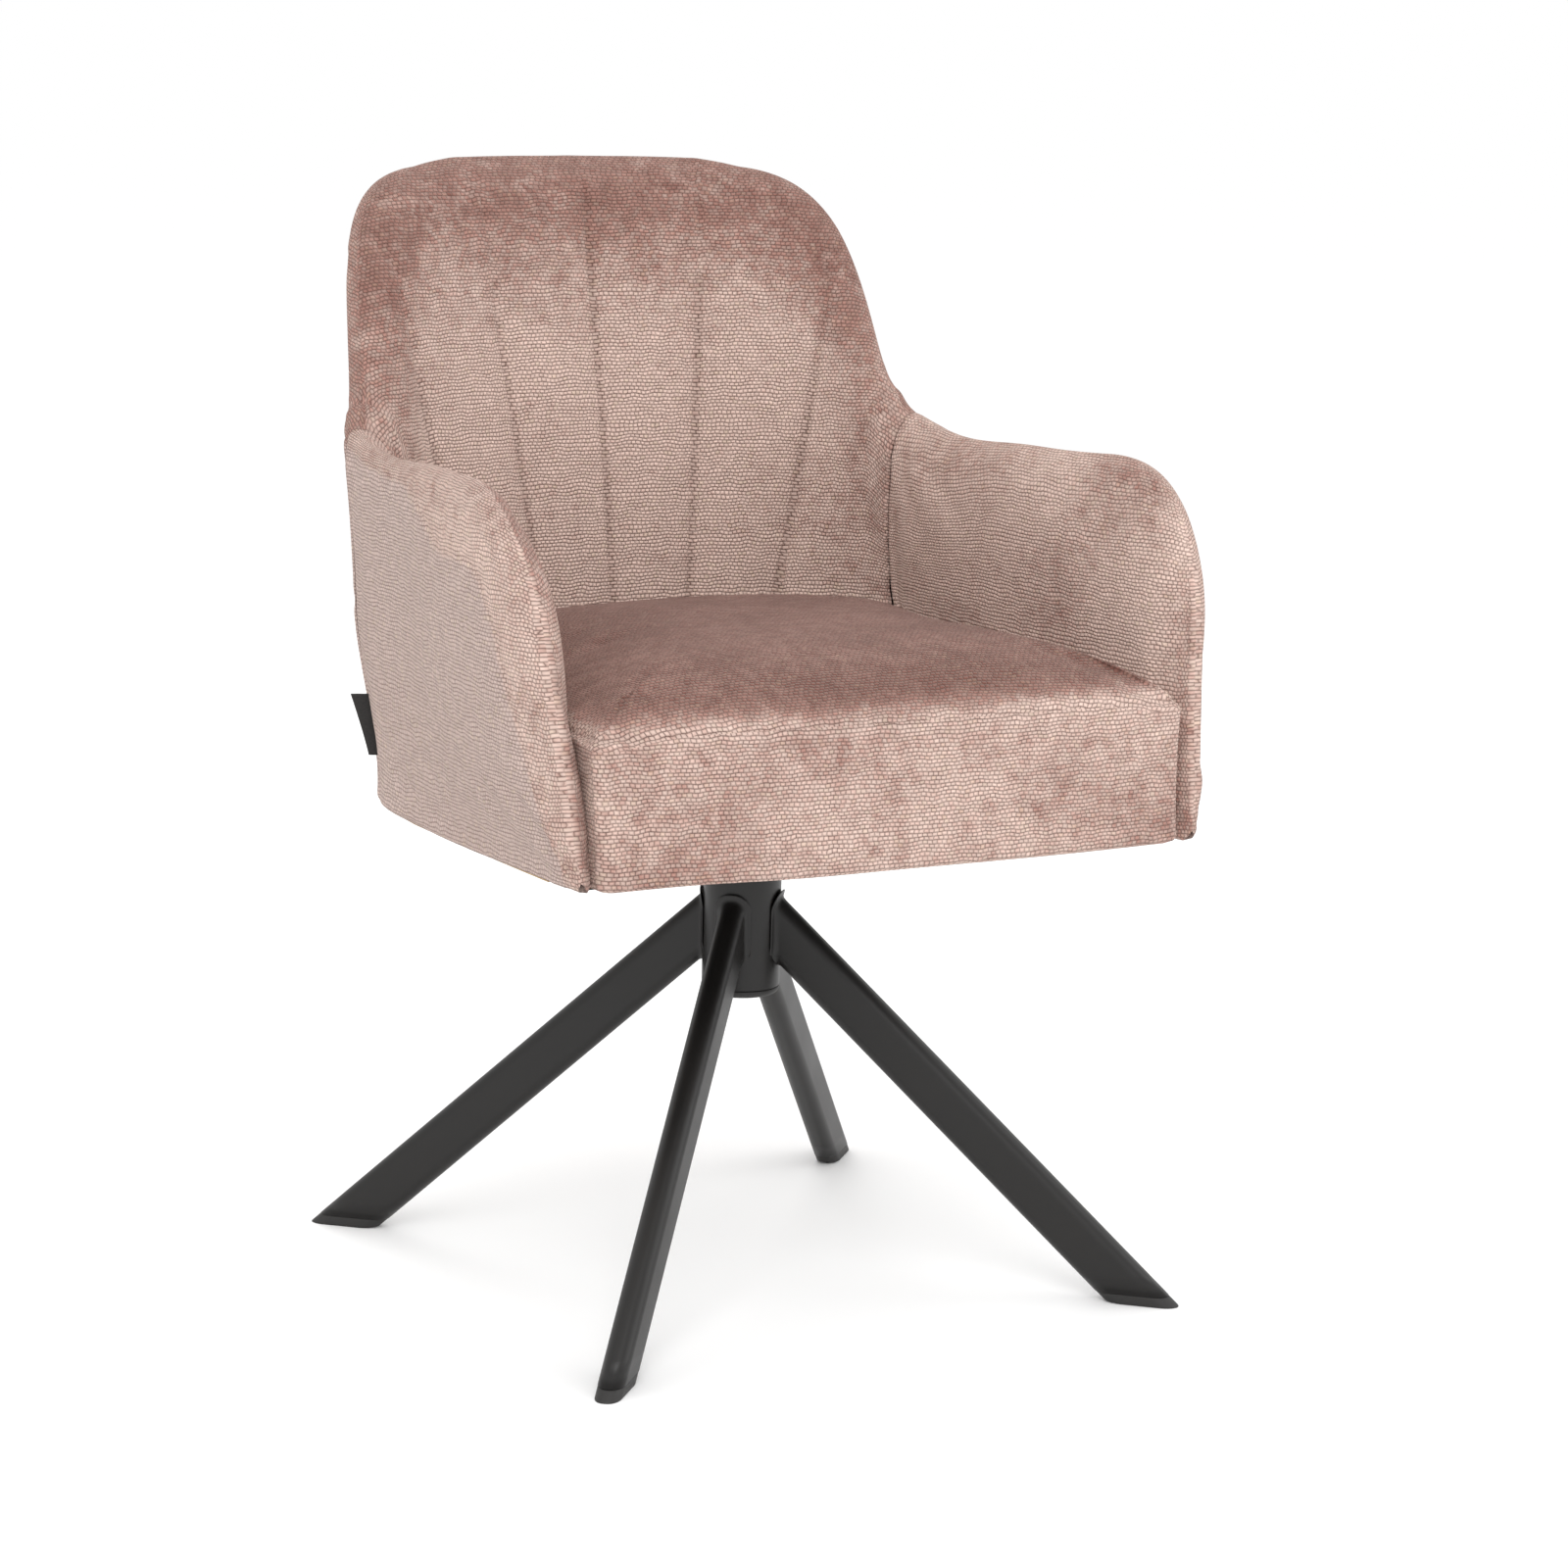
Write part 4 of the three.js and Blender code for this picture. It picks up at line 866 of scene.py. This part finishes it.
def makeDustCover():
    # two layers of the cushion's outline drawn in towards the middle, sagging by 1 - share^2
    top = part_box("dust_cover")[1].z
    q = np.arange(cover["around"]) / cover["around"]
    level = np.full((cover["around"], 1), shell["underside"])
    x, y = cushionOutline(q[:, None], level, 0)
    share = np.linspace(0, 1, cover["rings"])
    middle = axisY
    y = np.maximum(y, cushion["front"] + axisY + cover["inset"])
    plan = np.stack([x * share, middle + (y - middle) * share], -1)
    folds = cover["folds"] * smoothNoise(plan, 0.05, 90) * np.sin(math.pi * share)
    sag = cover["sag"] * (1 - share ** 2) + folds
    grids = []
    for height in (top, top - cover["thickness"]):
        grids.append(np.concatenate([plan, (height - sag * (height < top))[..., None]], -1))
    both = np.concatenate([grids[0], grids[1][:, ::-1]], 1)
    faces = cushionFaces(both).reshape(-1, 4)
    uv = both[..., :2].reshape(-1, 2)
    piece = makeMesh("dust_cover_cloth", both.reshape(-1, 3), [(faces, uv)])
    edge = plan[:, -1]
    area = abs(np.sum(edge[:, 0] * np.roll(edge[:, 1], -1) - np.roll(edge[:, 0], -1) * edge[:, 1])) / 2
    return piece, (float(np.ptp(edge[:, 0])), float(np.ptp(edge[:, 1]))), float(area)


dustCover, dustFlat, dustArea = makeDustCover()
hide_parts("dust_cover")
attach(dustCover, "seat")

# blank tag: a loop of tape, folded at its outer edge
tag = dict(length=0.0190, root=0.009, thickness=0.0007, height=0.043, low=0.414, bulge=0.0016, lean=0.006,
           wave=0.0006, waveAngle=9, uvWidth=0.0125, rows=24, around=48)


def makeTag():
    # a flat loop round (1 - cos, sin), carried up the seam and leaning in towards its foot
    turn = np.linspace(0, 2 * math.pi, tag["around"] + 1)
    rise = np.linspace(0, 1, tag["rows"])
    length = tag["length"] - tag["lean"] * (1 - rise)
    out = (1 - np.cos(turn)) / 2
    across = np.sin(turn) * np.abs(np.sin(turn / 2)) ** 0.6 * (tag["thickness"] + tag["bulge"] * 0.5)
    z = tag["low"] + tag["height"] * rise
    u = np.full(z.shape, -shell["seamPlace"])
    root, tip = inwards(u, z, tag["root"]), inwards(u, z, tag["root"] - 1)
    normal = tip - root
    side = np.cross(normal, [0, 0, 1.0])
    points = root + out[:, None, None] * (normal * length[:, None]) + across[:, None, None] * side
    wave = tag["wave"] * np.sin(tag["waveAngle"] * rise)
    points = points + wave[None, :, None] * side * out[:, None, None]
    grid = closedEnds(points)
    upTag = np.concatenate([[0], rise, [1]])[None] * tag["height"]
    uv = np.stack(np.broadcast_arrays(out[:, None] * tag["uvWidth"], upTag), -1)
    return makeMesh("side_tag_loop", grid.reshape(-1, 3), [(gridFaces(*grid.shape[:2]), uv.reshape(-1, 2))])


sideTag = makeTag()
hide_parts("side_tag")
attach(sideTag, "seat")
print("base, dust cover and tag made")


class Wire:
    # a socket that Python sums can be written with

    def __init__(self, tree, socket):
        self.tree, self.socket = tree, socket

    def math(self, operation, *others, clamp=False):
        # a Math node on this socket and the others
        node = self.tree.nodes.new("ShaderNodeMath")
        node.operation, node.use_clamp = operation, clamp
        for slot, value in zip(node.inputs, (self, *others)):
            if isinstance(value, Wire):
                self.tree.links.new(value.socket, slot)
            else:
                slot.default_value = value
        return Wire(self.tree, node.outputs[0])

    def flipped(self, operation, value):
        # a Math node with a plain number before this socket
        node = self.tree.nodes.new("ShaderNodeMath")
        node.operation = operation
        node.inputs[0].default_value = value
        self.tree.links.new(self.socket, node.inputs[1])
        return Wire(self.tree, node.outputs[0])

    def floor(self):
        return self.math("FLOOR")

    def abs(self):
        return self.math("ABSOLUTE")

    def held(self):
        # kept between 0 and 1
        return self.math("ADD", 0.0, clamp=True)


# plus, minus, times, over and to the power of, with the socket on either side
signs = dict(add="ADD", sub="SUBTRACT", mul="MULTIPLY", truediv="DIVIDE", pow="POWER")
for symbol, operation in signs.items():
    setattr(Wire, f"__{symbol}__", lambda wire, other, kind=operation: wire.math(kind, other))
    setattr(Wire, f"__r{symbol}__", lambda wire, other, kind=operation: wire.flipped(kind, other))


class Finish:
    # a material with one Principled shader, and a way to add any other node

    def __init__(self, name, **fixed):
        self.material = bpy.data.materials.new(name)
        self.material.use_nodes = True
        self.tree = self.material.node_tree
        self.shader = self.tree.nodes["Principled BSDF"]
        for key, value in fixed.items():
            self.shader.inputs[key].default_value = value

    def node(self, kind, output=0, settings=None, **inputs):
        node = self.tree.nodes.new("ShaderNode" + kind)
        for key, value in (settings or {}).items():
            setattr(node, key, value)
        for key, value in inputs.items():
            slot = node.inputs[int(key[1:])] if key[0] == "i" and key[1:].isdigit() else node.inputs[key]
            if isinstance(value, Wire):
                self.tree.links.new(value.socket, slot)
            else:
                slot.default_value = value
        return Wire(self.tree, node.outputs[output])

    def feed(self, key, wire):
        self.tree.links.new(wire.socket, self.shader.inputs[key])

    def place(self):
        return self.node("TexCoord", output="Object")

    def noise(self, vector, scale, detail=2.0, roughness=0.5, output="Fac"):
        return self.node("TexNoise", output=output, Vector=vector, Scale=scale, Detail=detail,
                         Roughness=roughness)

    def blend(self, share, a, b, kind="MIX"):
        settings = dict(data_type="RGBA", blend_type=kind)
        return self.node("Mix", output=2, settings=settings, i0=share, i6=a, i7=b)

    def bump(self, height, distance, strength=1.0, normal=None):
        inputs = dict(Height=height, Distance=distance, Strength=strength)
        if normal is not None:
            inputs["Normal"] = normal
        return self.node("Bump", **inputs)


def rgb(red, green, blue):
    # a display colour of 0 to 255 as the linear colour that a socket takes
    linear = [((c / 255 + 0.055) / 1.055) ** 2.4 if c > 10 else c / 255 / 12.92 for c in (red, green, blue)]
    return (*linear, 1.0)


# brushed is the colour of brushed pile with painted shade in it
chenille = dict(
    yarnLength=0.0043, rowHeight=0.0030,
    # deep is the darker colour painted on the seat's top and the back's top as shade
    pale=rgb(224, 197, 185), brushed=rgb(158, 120, 110), deep=rgb(112, 76, 68), sheer=rgb(190, 171, 165),
    # gap is painted shade, for the gaps between yarns and the seam creases
    gap=rgb(86, 58, 50), fleck=rgb(204, 186, 158), wobble=0.0008, relief=0.0016,
)


def chenilleFinish():
    # Bricks of thick yarn in rows, each half a yarn on from the row below. Each yarn is its own tone,
    # gaps and seam lines get painted shade, and the pile lies pale or brushed dark in patches that follow the
    # nap attribute, which also paints shade on the tops of the seat and back.
    f = Finish("rose_chenille", Roughness=0.92)
    for key, value in (("Sheen Weight", 0.30), ("Sheen Roughness", 0.45), ("Specular IOR Level", 0.12)):
        f.shader.inputs[key].default_value = value
    f.shader.inputs["Sheen Tint"].default_value = rgb(244, 224, 214)
    uv = f.node("UVMap", settings=dict(uv_map="cloth"))
    nap = f.node("Attribute", output="Fac", settings=dict(attribute_name="nap"))
    seam = f.node("Attribute", output="Fac", settings=dict(attribute_name="seam"))
    sheer = f.node("Attribute", output="Fac", settings=dict(attribute_name="sheer"))
    wander = f.noise(uv, 55.0, 1.0)
    wanderFine = f.noise(uv, 210.0, 1.0)
    u = f.node("SeparateXYZ", output=0, Vector=uv) + (wanderFine - 0.5) * (2 * chenille["wobble"])
    v = f.node("SeparateXYZ", output=1, Vector=uv) + (wander - 0.5) * (6 * chenille["wobble"])
    rows = v / chenille["rowHeight"]
    row = rows.floor()
    odd = row * 0.5 - (row * 0.5).floor()
    alongRow = u / chenille["yarnLength"] + odd + 0.35 * f.node(
        "TexWhiteNoise", output="Value", settings=dict(noise_dimensions="1D"), W=row)
    yarn = alongRow.floor()
    cell = f.node("CombineXYZ", X=yarn, Y=row)
    shade = f.node("TexWhiteNoise", output="Value", settings=dict(noise_dimensions="2D"), Vector=cell)
    tone = f.node("TexWhiteNoise", output="Value", settings=dict(noise_dimensions="3D"),
                  Vector=f.node("CombineXYZ", X=yarn, Y=row, Z=3.0))
    across = ((rows - row) * 2.0 - 1.0).abs()
    along = ((alongRow - yarn) * 2.0 - 1.0).abs()
    body = (1.0 - across ** 2.6) * (1.0 - along ** 4.0)
    fibre = f.noise(uv, 1500.0, 2.0, 0.6)
    patch = f.noise(f.place(), 11.0, 3.0, 0.6)
    speck = f.noise(f.place(), 75.0, 3.0, 0.65)
    # share of the brushed colour: brushed pile and painted shade, read from the nap attribute
    brushed = (nap * 1.05 - 0.12 + (patch - 0.5) * 1.05 + (speck - 0.5) * 1.45 + (shade - 0.5) * 0.60).held()
    colour = f.blend(brushed, chenille["pale"], chenille["brushed"])
    # painted shade: where nap goes past about 1 the colour turns to deep, mainly on the seat's top
    paintedShadeShare = ((nap - 1.0) + (speck - 0.5) * 2.0 + (shade - 0.5)).held() * (nap * 4.0 - 3.6).held()
    colour = f.blend(paintedShadeShare, colour, chenille["deep"])
    colour = f.blend(sheer * 0.8, colour, chenille["sheer"])
    # the same share darkens the yarns below and thins the flecks, carrying its painted shade
    heldNapAndShade = nap.held()
    colour = f.blend(((tone - 0.82) * 3.2).held() * (0.55 - heldNapAndShade * 0.35), colour, chenille["fleck"])
    value = (0.86 - heldNapAndShade * 0.16 + shade * (0.22 + heldNapAndShade * 0.36)) * (0.90 + fibre * 0.20)
    shaded = f.node("CombineColor", Red=value, Green=value, Blue=value)
    colour = f.blend(1.0, colour, shaded, "MULTIPLY")
    # painted shade: gaps between yarns and along seams are darkened towards the gap colour, more where gapDepth is
    # high
    gapDepth = f.node("TexWhiteNoise", output="Value", settings=dict(noise_dimensions="3D"),
                      Vector=f.node("CombineXYZ", X=yarn, Y=row, Z=7.0))
    gapShade = ((1.0 - body) ** 1.7 * (0.45 + gapDepth * 0.5) * (1.0 - sheer * 0.1) + seam * 0.24).held()
    colour = f.blend(gapShade, colour, chenille["gap"])
    f.feed("Base Color", colour)
    height = body * (0.75 + shade * 0.25) + fibre * 0.18
    f.feed("Normal", f.bump(height, chenille["relief"], 0.85))
    f.feed("Roughness", 0.86 + fibre * 0.12)
    return f.material


def steelFinish():
    # satin powder coat: a fine orange peel, faint cloudiness, a slightly worn sheen
    f = Finish("satin_black_powder_coat")
    f.shader.inputs["Specular IOR Level"].default_value = 0.45
    f.shader.inputs["Coat Roughness"].default_value = 0.35
    cloud = f.noise(f.place(), 14.0, 3.0)
    grain = f.noise(f.place(), 1400.0, 2.0, 0.6)
    f.feed("Base Color", f.blend(cloud, rgb(12, 10, 9), rgb(22, 19, 17)))
    f.feed("Roughness", 0.33 + cloud * 0.14 + grain * 0.06)
    f.feed("Normal", f.bump(grain, 0.00012, 0.5))
    return f.material


def plasticFinish():
    # moulded plastic with a spark-eroded grain
    f = Finish("matt_black_plastic")
    grain = f.noise(f.place(), 2200.0, 1.0)
    scuff = f.noise(f.place(), 90.0, 4.0, 0.7)
    f.feed("Base Color", f.blend(scuff, rgb(26, 25, 24), rgb(40, 38, 37)))
    f.feed("Roughness", 0.45 + scuff * 0.25)
    f.feed("Normal", f.bump(grain, 0.00008, 0.6))
    return f.material


def nylonFinish():
    # waxy off-white nylon with faint flow marks
    f = Finish("natural_nylon")
    flow = f.noise(f.place(), 60.0, 4.0)
    f.feed("Base Color", f.blend(flow, rgb(222, 216, 200), rgb(238, 234, 222)))
    f.feed("Roughness", 0.38 + flow * 0.15)
    return f.material


def zincFinish():
    # zinc plate: fine brushed streaks and a slight blue-grey bloom
    f = Finish("zinc_plate", Metallic=1.0)
    bloom = f.noise(f.place(), 120.0, 3.0)
    streak = f.noise(f.node("Mapping", Vector=f.place(), Scale=(900.0, 900.0, 60.0)), 1.0, 2.0)
    f.feed("Base Color", f.blend(bloom, rgb(176, 180, 188), rgb(206, 206, 204)))
    f.feed("Roughness", 0.24 + streak * 0.2)
    f.feed("Normal", f.bump(streak, 0.00004, 0.5))
    return f.material


def plywoodFinish():
    # birch face: long grain lines that waver, over pale and tan bands
    f = Finish("birch_plywood")
    grain = f.noise(f.node("Mapping", Vector=f.place(), Scale=(6.0, 60.0, 60.0)), 2.0, 5.0, 0.65)
    fine = f.noise(f.node("Mapping", Vector=f.place(), Scale=(40.0, 900.0, 900.0)), 1.0, 2.0)
    f.feed("Base Color", f.blend((grain * 0.7 + fine * 0.3), rgb(224, 196, 150), rgb(170, 128, 82)))
    f.feed("Roughness", 0.6 + fine * 0.2)
    f.feed("Normal", f.bump(fine, 0.0002, 0.4))
    return f.material


def feltFinish(name, low, high):
    # thin cloth: crossed threads seen as a fine square relief
    f = Finish(name, Roughness=0.9)
    f.shader.inputs["Sheen Weight"].default_value = 0.2
    place = f.place()
    threads = f.noise(f.node("Mapping", Vector=place, Scale=(1.0, 1.0, 1.0)), 900.0, 2.0)
    dots = f.node("TexVoronoi", output="Distance", Vector=place, Scale=700.0)
    f.feed("Base Color", f.blend(threads, low, high))
    f.feed("Normal", f.bump(dots + threads * 0.5, 0.0003, 0.6))
    return f.material


finishes = dict(
    chenille=chenilleFinish(), frame_steel=steelFinish(), black_plastic=plasticFinish(), nylon=nylonFinish(),
    fastener_steel=zincFinish(), plywood=plywoodFinish(),
    dust_cloth=feltFinish("black_dust_cloth", rgb(22, 22, 23), rgb(38, 38, 40)),
    tag_tape=feltFinish("black_woven_tape", rgb(18, 17, 17), rgb(44, 42, 41)),
)


def dress(piece, slot):
    # the piece shows the finish of its slot and no other
    piece.data.materials.clear()
    piece.data.materials.append(finishes[slot])


for piece in soft.values():
    dress(piece, "chenille")
for piece in steelPieces:
    dress(piece, "frame_steel")
for piece in plasticPieces:
    dress(piece, "black_plastic")
dress(dustCover, "dust_cloth")
dress(sideTag, "tag_tape")
slotOf = {part["node"]: part["material_slot"] for part in frame["record"]["subparts"]}
for name, node in nodes.items():
    node.data.materials.clear()
    node.data.materials.append(finishes[slotOf[name]])
print("materials made")

# floor, light and camera
stage = dict(floor=rgb(255, 255, 255), worldLight=1.0, size=200.0)
floorMesh = bpy.data.meshes.new("floor")
half = stage["size"] / 2
corners = [(-half, -half, 0), (half, -half, 0), (half, half, 0), (-half, half, 0)]
floorMesh.from_pydata(corners, [], [(0, 1, 2, 3)])
floor = bpy.data.objects.new("floor", floorMesh)
bpy.context.scene.collection.objects.link(floor)
floorFinish = Finish("pale_floor", Roughness=0.9)
floorFinish.shader.inputs["Base Color"].default_value = stage["floor"]
floorFinish.shader.inputs["Specular IOR Level"].default_value = 0.0
floorMesh.materials.append(floorFinish.material)

world = bpy.data.worlds.new("studio")
bpy.context.scene.world = world
world.use_nodes = True
world.node_tree.nodes["Background"].inputs["Color"].default_value = (1, 1, 1, 1)
world.node_tree.nodes["Background"].inputs["Strength"].default_value = stage["worldLight"]

lights = (
    dict(name="key", place=(-1.6, -2.6, 3.0), size=2.4, power=62),
    dict(name="fill", place=(2.8, -1.6, 1.8), size=2.2, power=22),
    dict(name="back", place=(0.8, 2.8, 2.4), size=2.0, power=26),
)
aim = np.array([0, 0, 0.5])
for light in lights:
    data = bpy.data.lights.new(light["name"], "AREA")
    data.size, data.energy = light["size"], light["power"]
    lamp = bpy.data.objects.new(light["name"], data)
    lamp.location = light["place"]
    away = np.array(light["place"]) - aim
    lamp.rotation_euler = (math.atan2(math.hypot(away[0], away[1]), away[2]), 0,
                           math.atan2(away[1], away[0]) + math.pi / 2)
    bpy.context.scene.collection.objects.link(lamp)

camera = dict(place=(-1.5075, -2.8731 + axisY, 1.0124), turn=-28.234, down=10.791, roll=1.358,
              lens=95.958, sensor=36)
yaw, pitch, roll = (math.radians(camera[k]) for k in ("turn", "down", "roll"))
ahead = np.array([-math.sin(yaw) * math.cos(pitch), math.cos(yaw) * math.cos(pitch), -math.sin(pitch)])
level = np.array([math.cos(yaw), math.sin(yaw), 0])
up = np.cross(level, ahead)
right = math.cos(roll) * level + math.sin(roll) * up
upward = -math.sin(roll) * level + math.cos(roll) * up
cameraData = bpy.data.cameras.new("camera")
cameraData.sensor_width = camera["sensor"]
cameraData.lens = camera["lens"]
cameraObject = bpy.data.objects.new("camera", cameraData)
cameraObject.matrix_world = Matrix([[*row, place] for row, place in zip(
    np.stack([right, upward, -ahead], -1).tolist(), camera["place"])] + [[0, 0, 0, 1]])
bpy.context.scene.collection.objects.link(cameraObject)
bpy.context.scene.camera = cameraObject
bpy.context.scene.view_settings.view_transform = "Standard"

print("scene made")
